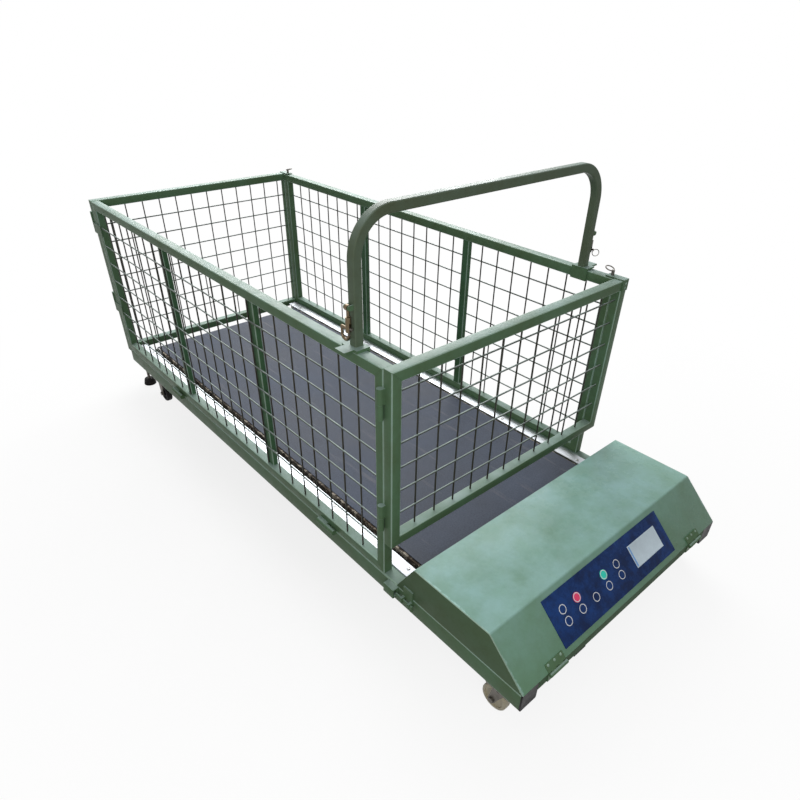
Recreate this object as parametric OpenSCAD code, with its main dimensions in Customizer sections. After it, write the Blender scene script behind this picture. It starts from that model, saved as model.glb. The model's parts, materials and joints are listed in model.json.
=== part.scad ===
// Dog treadmill: a tube base on casters with a running belt, a folding mesh cage with a gate at each end,
// a tether bar with two bolt snaps, and a tipping hood over the drive with a key panel on its slope.
// Millimetres. X runs across, Y from the hood to the rear gate, Z up from the floor.

/* [Base] */
// Length of the base over its end caps
base_len = 1916; // [1700:1:2200]
// Width of a side rail
rail_w = 50; // [44:1:52]
// Height of a side rail
rail_h = 50; // [46:1:60]
// Wall of the side rails
rail_wall = 2.5; // [2:0.5:4]
// Underside of the rails above the floor
ride_h = 88; // [86:1:110]
// Size of the square cross tubes
cross_s = 25; // [20:1:30]
// Thickness of an end cap's flange
cap_t = 4; // [3:0.5:6]

/* [Running belt] */
// Width of the running belt
belt_w = 600; // [540:1:660]
// Gap between the belt's edge and a rail
belt_side = 30; // [28:1:36]
// Thickness of the running belt
belt_t = 2.5; // [2:0.5:4]
// Top of the belt above the rails
belt_rise = 8; // [6:0.5:12]
// Thickness of the deck board
deck_t = 18; // [15:1:20]
// Diameter of the rollers
roller_d = 50; // [44:1:52]
// Front roller's axle behind the front of the base
front_axle_y = 255; // [250:1:265]
// Rear roller's axle before the rear of the base
rear_axle_in = 78; // [74:1:110]
// Width of a side strip
strip_w = 32; // [26:1:34]
// Thickness of a side strip
strip_t = 3; // [2:0.5:4]
// Overhang of a side strip inside its rail
strip_lap = 14; // [10:1:15]

/* [Cage] */
// Size of the cage's square tubes
tube = 25; // [22:1:28]
// Wall of the cage's tubes
tube_wall = 2; // [1.5:0.5:3]
// Cage height above the rails
cage_h = 529; // [500:1:620]
// Front end of the side panels behind the front of the base
cage_front = 411; // [406:1:430]
// Diameter of the mesh wires
wire_d = 4; // [3:0.5:5]
// Pitch of the mesh
wire_pitch = 60; // [50:1:70]
// Lowest panel wire above the rails
wire_first = 90; // [70:1:100]
// Front gate's bottom above the rails
gate_bottom = 98; // [96:1:120]
// Rear gate's bottom below the top of the rails
rear_gate_drop = 11; // [5:1:20]

/* [Tether bar] */
// Size of the bar's square tube
bar_s = 20; // [18:1:24]
// Height of the bar above the cage
bar_h = 250; // [200:1:350]
// Bend radius of the bar on its middle line
bar_bend = 80; // [60:1:120]
// Middle of the bar behind the panels' front end
bar_in = 98; // [90:1:300]

/* [Hood] */
// Hood height above the rails
hood_h = 91; // [88:1:93]
// Ridge of the hood behind the front of the base
ridge_y = 97; // [90:1:102]
// Rear edge of the hood's top behind the front of the base
hood_rear_y = 312; // [306:1:318]
// Reach of the side plates behind the hood's top
hood_ear = 54; // [48:1:56]
// Thickness of the hood's sheet
sheet = 2; // [1.5:0.5:3]

/* [Key panel] */
// Width of the panel overlay
panel_w = 432; // [420:1:434]
// Height of the panel overlay
panel_h = 106; // [100:1:112]
// Thickness of the panel overlay
panel_t = 2; // [1.6:0.1:3]
// Diameter of a key
key_d = 22; // [18:1:23]
// Pitch of the keys
key_pitch = 49; // [46:1:52]

/* [Casters] */
// Diameter of the wheels
wheel_d = 64; // [56:1:66]
// Width of the wheels
wheel_w = 22; // [18:1:26]
// Trail of a front wheel behind its swivel
trail = 15; // [10:1:20]

/* [Hidden] */
$fn = 48;

// Colours
paint = "#6f9482";
zinc = "silver";
black = "#1c1c1e";

// Clearances: a turning face, a running fit on the radius, a seam that opens, and room for a cutter
turn_gap = 0.3;
fit = 0.05;
seam = 0.6;
over = 1;

// Base
base_w = belt_w + 2 * (belt_side + rail_w);
half_w = base_w / 2;
rail_in = half_w - rail_w;
rail_mid = half_w - rail_w / 2;
rail_top = ride_h + rail_h;
rear_cross_h = 20;
cap_plug = 22;

// Belt, deck and rollers
roller_r = roller_d / 2;
axle_r = 8.5;
axle_z = rail_top + belt_rise - belt_t - turn_gap - roller_r;
rear_axle_y = base_len - rear_axle_in;
deck_top = axle_z + roller_r + turn_gap;
deck_low = deck_top - deck_t;
deck_lap = 6;
deck_front = front_axle_y + roller_r + 14;
deck_rear = rear_axle_y - roller_r - 14;
deck_tube_in = 60;
roller_lap = 3;
bearing_t = 12;
bearing_r = 17;
strip_x = rail_in - strip_lap;
strip_front = hood_rear_y - 14;
screw_r = 4.5;
screw_h = 2;
screw_first = 87;
screw_count = 6;
tension_r = 4;
tension_plate_in = 26;

// Drive under the hood
pulley_x = belt_w / 2 + roller_lap + 1.5;
pulley_w = rail_in - bearing_t - 1.5 - pulley_x;
pulley_r = 31;
motor_pulley_r = 16;
motor_shaft_r = 7;
motor_r = 42;
motor_len = 170;
motor_y = 150;
tray_t = 3;
tray_z = ride_h + 4;
tray_front = 34;
tray_rear = 210;
motor_z = tray_z + tray_t + motor_r + 14;
motor_x1 = pulley_x - 24;
motor_x0 = motor_x1 - motor_len;
saddle_in = 30;
saddle_w = 20;
rib_pitch = 8;
rib_count = 7;
rib_deep = 4;
control_x = 170 - rail_in;
control_w = 140;
control_h = 44;
control_front = 48;
control_rear = 104;
control_lid = 4;
inlet_x = control_x - 20;
inlet_w = 40;
inlet_front = 4;
inlet_deep = 15;
inlet_wall = 5;
inlet_pin_w = 2;
drive_belt_t = 3;

// Hinges of the cage: flag hinges, one half below or before the other
knuckle_r = 7;
knuckle_len = 34;
pin_r = 4;
pin_in = 28;
knuckle_off = knuckle_r + 0.5;
fold_x = half_w + knuckle_off;
fold_z = rail_top + seam / 2;
cage_rear = base_len + 1;
fold_front_in = 219;
fold_rear_in = 432;
fold_front_y = cage_front + fold_front_in;
fold_rear_y = cage_rear - fold_rear_in;
gate_hinge_up = 178;
gate_hinge_down = 71;
gate_hinge_low = rail_top + gate_hinge_up;
gate_hinge_high = rail_top + cage_h - gate_hinge_down;
strap_t = 2.6;
strap_off = 0.4;
strap_len = 34;
strap_knuckle_r = 5;
strap_pin_r = 3;

// Side panels
panel_len = cage_rear - cage_front;
panel_z = rail_top + seam;
panel_ht = cage_h - seam;
panel_top = rail_top + cage_h;
post_d = 16;
vent_r = 3;
wire_r = wire_d / 2;
weld_gap = 0.05;
wire_out = 0.6;
panel_rows = floor((cage_h - tube - wire_first - 20) / wire_pitch) + 1;
panel_cells = round((panel_len - 2 * tube) / wire_pitch);

// Gates
lift_gap = 1.5;
gate_top = panel_top + lift_gap;
front_gate_y = cage_front - seam - tube;
rear_gate_y = cage_rear + seam;
strap_x = half_w + strap_off + strap_t + 0.4 - strap_knuckle_r;
strap_y = rear_gate_y + tube + 0.5 + strap_knuckle_r;
front_gate_z = rail_top + gate_bottom;
rear_gate_z = rail_top - rear_gate_drop;
front_wire_first = 82;
rear_wire_first = wire_first + rear_gate_drop;
gate_cells = floor((base_w - 2 * tube - 2 * wire_d) / wire_pitch);
latch_t = 2.4;
latch_w = 24;
latch_pin_r = 4;
latch_pin_len = 15;
latch_fold = 26;
latch_ring_r = 11;
latch_ring_wire = 1.4;
latch_ring_tilt = 18;
latch_bore_r = 4.6;

// Tether bar
bar_y = cage_front + bar_in;
bar_x = half_w - 17;
bar_wall = 1.5;
bar_round = 3;
foot_t = 4;
foot_lift = 2;
foot_z = panel_top + foot_lift;
foot_long = 46;
foot_tab_out = 24;
foot_tab_w = 30;
cheek_t = 4;
cheek_drop = 26;
bar_top = foot_z + foot_t + bar_h;

// Bolt snaps
snap_off = 8;
snap_x = bar_x + bar_s / 2 + snap_off;
snap_z = foot_z + 83;
snap_pin_r = 2.5;
snap_eye_r = 6;
snap_eye_w = 8;
snap_ear_t = 3;
snap_barrel_r = 5.5;
snap_bolt_r = 2.4;
snap_hook_r = 10;
snap_hook_wire = 3;
snap_arm_z = -42;
snap_barrel_end = -48;
snap_tip_z = -56;
snap_travel = 7;

// Hood
hood_z = rail_top + seam;
hood_top = rail_top + hood_h;
slope = atan2(hood_top - hood_z, ridge_y);
hood_bend = 8;
hood_knuckle_r = 4.5;
hood_pin_r = 2;
hood_axis_out = hood_knuckle_r + 0.5;
hood_axis_z = rail_top - 2;
hood_knuckles = 5;
hood_knuckle_w = 10.8;
hood_leaf_t = 2;
hood_leaf_h = 18;
front_reach = -hood_axis_out - hood_knuckle_r;
rear_reach = strap_y + strap_knuckle_r;
y_mid = (front_reach + rear_reach) / 2;

// Hood bolt and its keeper on the left rail
bolt_r = 3;
bolt_handle_r = 2.5;
bolt_x = half_w + 8.5;
bolt_z = rail_top - 14;
bolt_front = hood_rear_y - 8;
bolt_rear = hood_rear_y + hood_ear - 8;
bolt_plate_x = half_w + 0.4;
bolt_plate_t = 3;
bolt_plate_up = 22;
bolt_guide_len = 6;
bolt_guide_h = 14;
bolt_guide_out = half_w + 14;
bolt_handle_len = 12;
keeper_y = bolt_rear + 1.5;
keeper_len = 34;
keeper_h = 26;
keeper_out = half_w + 17;
keeper_wall = 3;

// Key panel, laid out on the slope
slope_len = (hood_top - hood_z) / sin(slope);
panel_mid_x = -20;
panel_side = 12;
hood_hinge_x = panel_w / 2 - panel_mid_x + panel_side + hood_knuckles * hood_knuckle_w / 2;
panel_mid_s = slope_len / 2;
key_proud = 0.6;
key_t = 1.6;
key_gap = 0.3;
key_first_x = panel_mid_x - 176;
key_row = 13.5;
key_places = [[0, 1], [1, 1], [3, 1], [4, 1], [0, -1], [1, -1], [2, -1], [3, -1], [4, -1]];
window_x = panel_mid_x + 131;
window_w = 112;
window_h = 54;
window_gap = 0.1;

// Casters and feet
wheel_r = wheel_d / 2;
swivel_y = 60;
rear_wheel_in = 211;
foot_in = 50;
mount_t = 3;
mount_w = 46;
mount_len = 62;
race_r = 18;
king_r = 5;
crown_r = 21;
crown_t = 4;
crown_top = ride_h - mount_t - 5;
fork_t = 3;
fork_in = wheel_w / 2 + 1.5;
wheel_axle_r = 4;
hub_r = 10;
hub_deep = 5;
rim_r = wheel_r - 8;
tyre_edge = 3;
pad_h = 24;

module at_middle() translate([0, -y_mid, 0]) children();
module left() mirror([1, 0, 0]) children();
module both() {
    children();
    left() children();
}
module box(x0, x1, y0, y1, z0, z1) translate([x0, y0, z0]) cube([x1 - x0, y1 - y0, z1 - z0]);
module rod_x(x0, x1, y, z, r) translate([x0, y, z]) rotate([0, 90, 0]) cylinder(h = x1 - x0, r = r);
module rod_y(y0, y1, x, z, r) translate([x, y0, z]) rotate([-90, 0, 0]) cylinder(h = y1 - y0, r = r);
module rod_z(z0, z1, x, y, r) translate([x, y, z0]) cylinder(h = z1 - z0, r = r);
// A flat outline in Y and Z, given thickness along X
module side_plate(x0, x1) translate([x0, 0, 0]) rotate([90, 0, 90]) linear_extrude(x1 - x0) children();

// Base

module rail_tube() {
    difference() {
        box(rail_in, half_w, cap_t, base_len - cap_t, ride_h, rail_top);
        box(rail_in + rail_wall, half_w - rail_wall, 0, base_len, ride_h + rail_wall, rail_top - rail_wall);
    }
}

module bolt_keeper() {
    difference() {
        box(half_w, keeper_out, keeper_y, keeper_y + keeper_len, bolt_z - keeper_h / 2, bolt_z + keeper_h / 2);
        box(half_w + keeper_wall, keeper_out - keeper_wall, keeper_y - over, keeper_y + keeper_len - keeper_wall,
            bolt_z - keeper_h / 2 + keeper_wall, bolt_z + keeper_h / 2 - keeper_wall);
    }
}

module base_rails() {
    color(paint) at_middle() {
        rail_tube();
        left() {
            rail_tube();
            bolt_keeper();
        }
    }
}

module cross_tube(y, z, h) {
    difference() {
        box(-rail_in, rail_in, y, y + cross_s, z, z + h);
        box(-rail_in - over, rail_in + over, y + tube_wall, y + cross_s - tube_wall, z + tube_wall,
            z + h - tube_wall);
    }
}

module cross_members() {
    color(paint) at_middle() {
        cross_tube(0, rail_top - cross_s, cross_s);
        cross_tube(base_len - cap_t - cross_s, ride_h, rear_cross_h);
        for (y = [deck_front + deck_tube_in, (deck_front + deck_rear) / 2, deck_rear - deck_tube_in])
            cross_tube(y - cross_s / 2, deck_low - cross_s, cross_s);
    }
}

module rail_cap() {
    inset = rail_wall + fit;
    box(rail_in, half_w, 0, cap_t, ride_h, rail_top);
    box(rail_in + inset, half_w - inset, cap_t, cap_t + cap_plug, ride_h + inset, rail_top - inset);
}

module rail_caps() {
    color(black) at_middle() both() {
        rail_cap();
        translate([0, base_len, 0]) mirror([0, 1, 0]) rail_cap();
    }
}

module deck_board() {
    color("#8a7a66") at_middle()
        box(-belt_w / 2 - deck_lap, belt_w / 2 + deck_lap, deck_front, deck_rear, deck_low, deck_top);
}

module belt_path(r) {
    for (y = [front_axle_y, rear_axle_y]) translate([y, axle_z]) circle(r);
    translate([front_axle_y, axle_z - r]) square([rear_axle_y - front_axle_y, 2 * r]);
}

module running_belt() {
    color("#55555f") at_middle() side_plate(-belt_w / 2, belt_w / 2) difference() {
        belt_path(roller_r + turn_gap + belt_t);
        belt_path(roller_r + turn_gap);
    }
}

module side_strips() {
    color("#e4e8ec") at_middle() both()
        box(strip_x, strip_x + strip_w, strip_front, base_len - cap_t, rail_top, rail_top + strip_t);
}

module strip_screws() {
    pitch = (base_len - strip_front - 2 * screw_first) / (screw_count - 1);
    color(zinc) at_middle() both() for (i = [0 : screw_count - 1])
        translate([strip_x + strip_w / 2 - 4, strip_front + screw_first + i * pitch, rail_top + strip_t])
            cylinder(h = screw_h, r1 = screw_r, r2 = screw_r * 0.7);
}

// Rollers and drive

module roller(y) {
    rod_x(-belt_w / 2 - roller_lap, belt_w / 2 + roller_lap, y, axle_z, roller_r);
    rod_x(-rail_in + over, rail_in - over, y, axle_z, axle_r);
}

module drive_roller() color(zinc) at_middle() roller(front_axle_y);

module rear_roller() color(zinc) at_middle() roller(rear_axle_y);

module drive_pulley() {
    color(black) at_middle() difference() {
        rod_x(pulley_x, pulley_x + pulley_w, front_axle_y, axle_z, pulley_r);
        rod_x(pulley_x - over, pulley_x + pulley_w + over, front_axle_y, axle_z, axle_r);
    }
}

module bearing_block(y) {
    difference() {
        union() {
            rod_x(rail_in - bearing_t, rail_in, y, axle_z, bearing_r);
            box(rail_in - bearing_t, rail_in, y - bearing_r, y + bearing_r, axle_z - bearing_r, axle_z);
        }
        rod_x(rail_in - bearing_t - over, rail_in + over, y, axle_z, axle_r + fit);
    }
}

module bearing_blocks() color(black) at_middle() both() {
    bearing_block(front_axle_y);
    bearing_block(rear_axle_y);
}

module tension_bolts() {
    plate_y = rear_axle_y + bearing_r + tension_plate_in;
    x = rail_in - bearing_t / 2 - over;
    color(zinc) at_middle() both() {
        box(rail_in - bearing_t, rail_in, plate_y, plate_y + latch_t, axle_z - bearing_r, axle_z + bearing_r);
        rod_y(rear_axle_y + bearing_r, plate_y + latch_t + 8, x, axle_z, tension_r);
        rod_y(plate_y + latch_t, plate_y + latch_t + 5, x, axle_z, tension_r + 2, $fn = 6);
    }
}

module motor_tray() {
    saddle_h = motor_r + 8;
    color(zinc) at_middle() {
        box(-rail_in, rail_in, tray_front, tray_rear, tray_z, tray_z + tray_t);
        difference() {
            for (x = [motor_x0 + saddle_in, motor_x1 - saddle_in - saddle_w])
                box(x, x + saddle_w, motor_y - motor_r + 6, motor_y + motor_r - 6, tray_z, tray_z + saddle_h);
            rod_x(motor_x0, motor_x1, motor_y, motor_z, motor_r + fit);
        }
    }
}

module rib_groove(x) difference() {
    rod_x(x, x + rib_pitch / 2, motor_y, motor_z, motor_r + over);
    rod_x(x - over, x + rib_pitch / 2 + over, motor_y, motor_z, motor_r - rib_deep);
}

module motor() {
    bell = 14;
    color("#30343a") at_middle() difference() {
        union() {
            rod_x(motor_x0, motor_x1, motor_y, motor_z, motor_r);
            rod_x(motor_x0 - bell, motor_x0, motor_y, motor_z, motor_r - 6);
            rod_x(motor_x1, motor_x1 + bell / 2, motor_y, motor_z, motor_r - 12);
        }
        rod_x(motor_x1 - bell, motor_x1 + bell, motor_y, motor_z, motor_shaft_r + fit);
        for (i = [0 : rib_count - 1]) rib_groove((motor_x0 + motor_x1 + (2 * i - rib_count) * rib_pitch) / 2);
    }
}

module motor_pulley() {
    color(zinc) at_middle() {
        rod_x(motor_x1 - 12, pulley_x + pulley_w, motor_y, motor_z, motor_shaft_r);
        rod_x(pulley_x, pulley_x + pulley_w, motor_y, motor_z, motor_pulley_r);
    }
}

// Points round two pulleys at a and b: an arc on each, joined by the straight runs that touch both
function belt_loop(a, ra, b, rb) =
    let (dir = atan2(b[1] - a[1], b[0] - a[0]), lean = acos((ra - rb) / norm(b - a)), steps = 18)
    concat([for (i = [0 : steps]) let (t = dir + lean + i * (360 - 2 * lean) / steps) a + ra * [cos(t), sin(t)]],
           [for (i = [0 : steps]) let (t = dir - lean + i * 2 * lean / steps) b + rb * [cos(t), sin(t)]]);

module drive_belt() {
    a = [motor_y, motor_z];
    b = [front_axle_y, axle_z];
    ra = motor_pulley_r + turn_gap;
    rb = pulley_r + turn_gap;
    color(black) at_middle() side_plate(pulley_x + 1, pulley_x + pulley_w - 1) difference() {
        polygon(belt_loop(a, ra + drive_belt_t, b, rb + drive_belt_t));
        polygon(belt_loop(a, ra, b, rb));
    }
}

// The inlet's shell stands before the box; three pins stand in its recess
module mains_inlet(low, high) {
    mid = (low + high) / 2;
    x0 = inlet_x - inlet_w / 2;
    x1 = inlet_x + inlet_w / 2;
    difference() {
        box(x0, x1, inlet_front, control_front, low, high);
        box(x0 + inlet_wall, x1 - inlet_wall, inlet_front - over, inlet_front + inlet_deep, low + 3, high - 3);
    }
    for (x = [-1, 0, 1]) translate([inlet_x + x * inlet_w / 5 - inlet_pin_w / 2, 0, 0])
        box(0, inlet_pin_w, inlet_front + 2, inlet_front + inlet_deep + over, mid - 2, mid + 2);
}

module controller_box() {
    low = tray_z + tray_t;
    x0 = control_x - control_w / 2;
    x1 = control_x + control_w / 2;
    color(black) at_middle() {
        box(x0, x1, control_front, control_rear, low, low + control_h);
        box(x0 - 2, x1 + 2, control_front - 2, control_rear + 2, low + control_h - over,
            low + control_h + control_lid);
        mains_inlet(low, rail_top - cross_s - 2);
    }
}

// Casters and feet

module mount_plate(y) box(rail_mid - mount_w / 2, rail_mid + mount_w / 2, y - mount_len / 2, y + mount_len / 2,
                          ride_h - mount_t, ride_h);

module swivel_mount() {
    mount_plate(swivel_y);
    rod_z(crown_top + turn_gap, ride_h - mount_t, rail_mid, swivel_y, race_r);
    rod_z(crown_top - crown_t - 4, ride_h - mount_t, rail_mid, swivel_y, king_r);
    rod_z(crown_top - crown_t - 4, crown_top - crown_t - turn_gap, rail_mid, swivel_y, king_r + 4);
}

// A fork's side, from its top edge down to the boss on the wheel's axle
module fork_side(y, top, reach) {
    polygon([[y - 15, top], [y + 15, top], [y + reach + 9, wheel_r], [y + reach - 9, wheel_r]]);
    translate([y + reach, wheel_r]) circle(9);
}

module fork_sides(y, top, reach) {
    for (x = [rail_mid - fork_in - fork_t, rail_mid + fork_in])
        side_plate(x, x + fork_t) fork_side(y, top, reach);
    rod_x(rail_mid - fork_in - fork_t - 4, rail_mid + fork_in + fork_t + 4, y + reach, wheel_r, wheel_axle_r);
    for (x = [rail_mid - fork_in - fork_t - 4, rail_mid + fork_in + fork_t])
        rod_x(x, x + 4, y + reach, wheel_r, wheel_axle_r + 3);
}

module fixed_mount() {
    y = base_len - rear_wheel_in;
    mount_plate(y);
    fork_sides(y, ride_h - mount_t, 0);
}

module caster_mounts() color(zinc) at_middle() both() {
    swivel_mount();
    fixed_mount();
}

module swivel_fork() {
    difference() {
        rod_z(crown_top - crown_t, crown_top, rail_mid, swivel_y, crown_r);
        rod_z(crown_top - crown_t - over, crown_top + over, rail_mid, swivel_y, king_r + fit);
    }
    fork_sides(swivel_y, crown_top - crown_t / 2, trail);
}

// A wheel's half outline from its middle plane outward: bore, hub, web, then the tyre with its rounded edge
function wheel_side(w, bore) = [[bore, w], [hub_r, w], [hub_r, w - hub_deep], [rim_r, w - hub_deep], [rim_r, w - 1],
    [wheel_r - tyre_edge, w - 1], [wheel_r - tyre_edge / 3, w - tyre_edge], [wheel_r, w - 2 * tyre_edge]];

module wheel(y) {
    side = wheel_side(wheel_w / 2, wheel_axle_r + fit);
    count = len(side);
    translate([rail_mid, y, wheel_r]) rotate([0, 90, 0]) rotate_extrude()
        polygon(concat(side, [for (i = [0 : count - 1]) [side[count - 1 - i][0], -side[count - 1 - i][1]]]));
}

module right_fork() color(zinc) at_middle() swivel_fork();
module left_fork() color(zinc) at_middle() left() swivel_fork();
module front_right_wheel() color("#d8d2bc") at_middle() wheel(swivel_y + trail);
module front_left_wheel() color("#d8d2bc") at_middle() left() wheel(swivel_y + trail);
module rear_right_wheel() color(black) at_middle() wheel(base_len - rear_wheel_in);
module rear_left_wheel() color(black) at_middle() left() wheel(base_len - rear_wheel_in);

module rear_feet() color(black) at_middle() both() translate([rail_mid, base_len - foot_in, 0]) {
    cylinder(h = pad_h, r1 = 22, r2 = 17);
    cylinder(h = ride_h, r = 5);
    translate([0, 0, ride_h - 8]) cylinder(h = 8, r = 9, $fn = 6);
}

// Cage hinges

// Half of a fold hinge along Y with its weld pad, on the rail below the seam or on the panel above it
module fold_knuckle(y0, y1, above) {
    z0 = above ? fold_z + seam / 2 : fold_z - knuckle_r;
    z1 = above ? fold_z + knuckle_r : fold_z - seam / 2;
    rod_y(y0, y1, fold_x, fold_z, knuckle_r);
    box(half_w, fold_x, y0, y1, z0, z1);
}

module fold_hinge_base(y) {
    fold_knuckle(y - knuckle_len, y - turn_gap, false);
    rod_y(y - knuckle_len, y + pin_in, fold_x, fold_z, pin_r);
}

module fold_hinge_panel(y) {
    difference() {
        fold_knuckle(y, y + knuckle_len, true);
        rod_y(y - over, y + pin_in + over, fold_x, fold_z, pin_r + fit);
    }
}

module fold_hinges_panel() for (y = [fold_front_y, fold_rear_y]) fold_hinge_panel(y);

// Half of an upright hinge on the left side, for the front gate; dir is +1 where its weld pad lies behind the seam
module upright_knuckle(y, z0, z1, dir) {
    y0 = dir > 0 ? y + seam / 2 : y - knuckle_r;
    y1 = dir > 0 ? y + knuckle_r : y - seam / 2;
    rod_z(z0, z1, -fold_x, y, knuckle_r);
    box(-fold_x, -half_w, y0, y1, z0, z1);
}

module gate_hinges_panel(y, dir) for (z = [gate_hinge_low, gate_hinge_high]) {
    upright_knuckle(y, z - knuckle_len, z - turn_gap, dir);
    rod_z(z - knuckle_len, z + pin_in, -fold_x, y, pin_r);
}

module gate_hinges_gate(y, dir) for (z = [gate_hinge_low, gate_hinge_high]) difference() {
    upright_knuckle(y, z, z + knuckle_len, dir);
    rod_z(z - over, z + pin_in + over, -fold_x, y, pin_r + fit);
}

// Rear gate's hinges: straps from the left panel round the gate's stile to pins behind it
module strap_hinges_panel() left() for (z = [gate_hinge_low, gate_hinge_high]) {
    z0 = z - knuckle_len;
    z1 = z - turn_gap;
    box(half_w, half_w + strap_off + over, cage_rear - strap_len, cage_rear - 4, z0, z1);
    box(half_w + strap_off, half_w + strap_off + strap_t, cage_rear - strap_len, strap_y, z0, z1);
    rod_z(z0, z1, strap_x, strap_y, strap_knuckle_r);
    rod_z(z0, z + pin_in, strap_x, strap_y, strap_pin_r);
}

module strap_hinges_gate() left() for (z = [gate_hinge_low, gate_hinge_high]) difference() {
    union() {
        rod_z(z, z + knuckle_len, strap_x, strap_y, strap_knuckle_r);
        box(half_w - tube, strap_x + strap_pin_r, rear_gate_y + tube, strap_y - 2, z, z + knuckle_len);
    }
    rod_z(z - over, z + pin_in + over, strap_x, strap_y, strap_pin_r + fit);
}

// Slope coordinates: X across, Y up the slope from its foot, Z out of its face
module on_slope() translate([0, 0, hood_z]) rotate([slope, 0, 0]) children();

module hood_knuckle(x) rod_x(x + turn_gap / 2, x + hood_knuckle_w - turn_gap / 2, -hood_axis_out, hood_axis_z,
                             hood_knuckle_r);

module hood_hinge_base() {
    x0 = hood_hinge_x - hood_knuckles * hood_knuckle_w / 2;
    x1 = hood_hinge_x + hood_knuckles * hood_knuckle_w / 2;
    low = hood_axis_z - hood_knuckle_r - 0.5;
    box(x0, x1, -hood_leaf_t, 0, rail_top - cross_s, low);
    for (i = [0 : 2 : hood_knuckles - 1]) {
        x = x0 + i * hood_knuckle_w;
        hood_knuckle(x);
        box(x + turn_gap / 2, x + hood_knuckle_w - turn_gap / 2, -hood_leaf_t, 0, low, hood_axis_z);
    }
    rod_x(x0, x1, -hood_axis_out, hood_axis_z, hood_pin_r);
}

module base_hinges() color(paint) at_middle() both() {
    for (y = [fold_front_y, fold_rear_y]) fold_hinge_base(y);
    hood_hinge_base();
}

// Side panels and gates: a ring of square tube with open bores, length along X, depth along Y

module ring_solid(len, ht) difference() {
    cube([len, tube, ht]);
    translate([tube, -over, tube]) cube([len - 2 * tube, tube + 2 * over, ht - 2 * tube]);
}

module ring_bore(len, ht) {
    core = tube - tube_wall;
    difference() {
        translate([tube_wall, tube_wall, tube_wall])
            cube([len - 2 * tube_wall, tube - 2 * tube_wall, ht - 2 * tube_wall]);
        translate([core, 0, core]) cube([len - 2 * core, tube, ht - 2 * core]);
    }
    for (x = [tube / 2, len - tube / 2]) translate([x, tube / 2, -over]) cylinder(h = tube_wall + 2 * over, r = vent_r);
}

// Upright bars set back behind the mesh, with bores that open into the ring's bore
module posts(len, ht, wall) for (i = [1, 2])
    translate([i * len / 3 - tube / 2 + wall, tube - post_d + wall, wall > 0 ? wall : tube])
        cube([tube - 2 * wall, post_d - 2 * wall, ht - 2 * (wall > 0 ? wall : tube)]);

module panel_frame() difference() {
    union() {
        ring_solid(panel_len, panel_ht);
        posts(panel_len, panel_ht, 0);
    }
    ring_bore(panel_len, panel_ht);
    posts(panel_len, panel_ht, tube_wall);
}

// A mesh inside a ring: level wires on one layer and upright wires on the next
module mesh(len, ht, depth, rows, columns) {
    for (z = rows) rod_x(tube, len - tube, depth, z, wire_r);
    for (x = columns) rod_z(tube, ht - tube, x, depth + wire_d + weld_gap, wire_r);
}

module place_panel() translate([half_w, cage_front, panel_z]) rotate([0, 0, 90]) children();

module panel_mesh() mesh(panel_len, panel_ht, wire_r + wire_out,
    [for (i = [0 : panel_rows - 1]) wire_first - seam + i * wire_pitch],
    [for (i = [1 : panel_cells - 1]) tube + i * (panel_len - 2 * tube) / panel_cells]);

module latch_bores() for (y = [cage_front + tube / 2, cage_rear - tube / 2])
    rod_z(panel_top - tube, panel_top + over, half_w - tube / 2, y, latch_bore_r);

module right_panel_frame() color(paint) at_middle() difference() {
    place_panel() panel_frame();
    latch_bores();
}

module left_panel_frame() color(paint) at_middle() left() place_panel() panel_frame();
module right_panel_mesh() color("#8fa39a") at_middle() place_panel() panel_mesh();
module left_panel_mesh() color("#8fa39a") at_middle() left() place_panel() panel_mesh();
module right_panel_hinges() color(paint) at_middle() fold_hinges_panel();

module left_panel_hinges() color(paint) at_middle() {
    left() fold_hinges_panel();
    gate_hinges_panel(cage_front - seam / 2, 1);
    strap_hinges_panel();
}

module gate_frame(ht) difference() {
    ring_solid(base_w, ht);
    ring_bore(base_w, ht);
}

module gate_mesh(ht, first, count) {
    rows = [for (z = [first : wire_pitch : ht - tube - 20]) z];
    columns = [for (i = [0 : count - 1]) base_w / 2 + (i - (count - 1) / 2) * wire_pitch];
    mesh(base_w, ht, tube / 2 - wire_r, rows, columns);
}

// A plate on the gate's top rail that reaches over the right panel, bored for the ring pin and folded down at face_y
module latch_plate(y0, y1, pin_y, face_y) {
    difference() {
        box(half_w - latch_w, half_w - over, y0, y1, gate_top, gate_top + latch_t);
        rod_z(gate_top - over, gate_top + latch_t + over, half_w - tube / 2, pin_y, latch_pin_r + fit);
    }
    box(half_w - latch_w, half_w - over, face_y, face_y + latch_t, gate_top - latch_fold, gate_top + latch_t);
}

// A pin with a ring that lies nearly flat, towards dir along the panel
module ring_pin(y, dir) {
    top = gate_top + latch_pin_len;
    rod_z(gate_top + seam, top, half_w - tube / 2, y, latch_pin_r);
    translate([half_w - tube / 2, y, top - latch_ring_wire]) rotate([dir * latch_ring_tilt, 0, 0])
        translate([0, dir * latch_ring_r, 0]) rotate_extrude() translate([latch_ring_r, 0]) circle(latch_ring_wire);
}

module place_front_gate() translate([-half_w, front_gate_y, front_gate_z]) children();
module place_rear_gate() translate([-half_w, rear_gate_y, rear_gate_z]) children();

module front_gate_frame() color(paint) at_middle() place_front_gate() gate_frame(gate_top - front_gate_z);
module rear_gate_frame() color(paint) at_middle() place_rear_gate() gate_frame(gate_top - rear_gate_z);
module front_gate_mesh() color("#8fa39a") at_middle() place_front_gate()
    gate_mesh(gate_top - front_gate_z, front_wire_first, gate_cells);
module rear_gate_mesh() color("#8fa39a") at_middle() place_rear_gate()
    gate_mesh(gate_top - rear_gate_z, rear_wire_first, gate_cells + 1);

module front_gate_hinges() color(paint) at_middle() {
    gate_hinges_gate(cage_front - seam / 2, -1);
    latch_plate(front_gate_y - over, cage_front + tube, cage_front + tube / 2, front_gate_y - latch_t);
}

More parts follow.
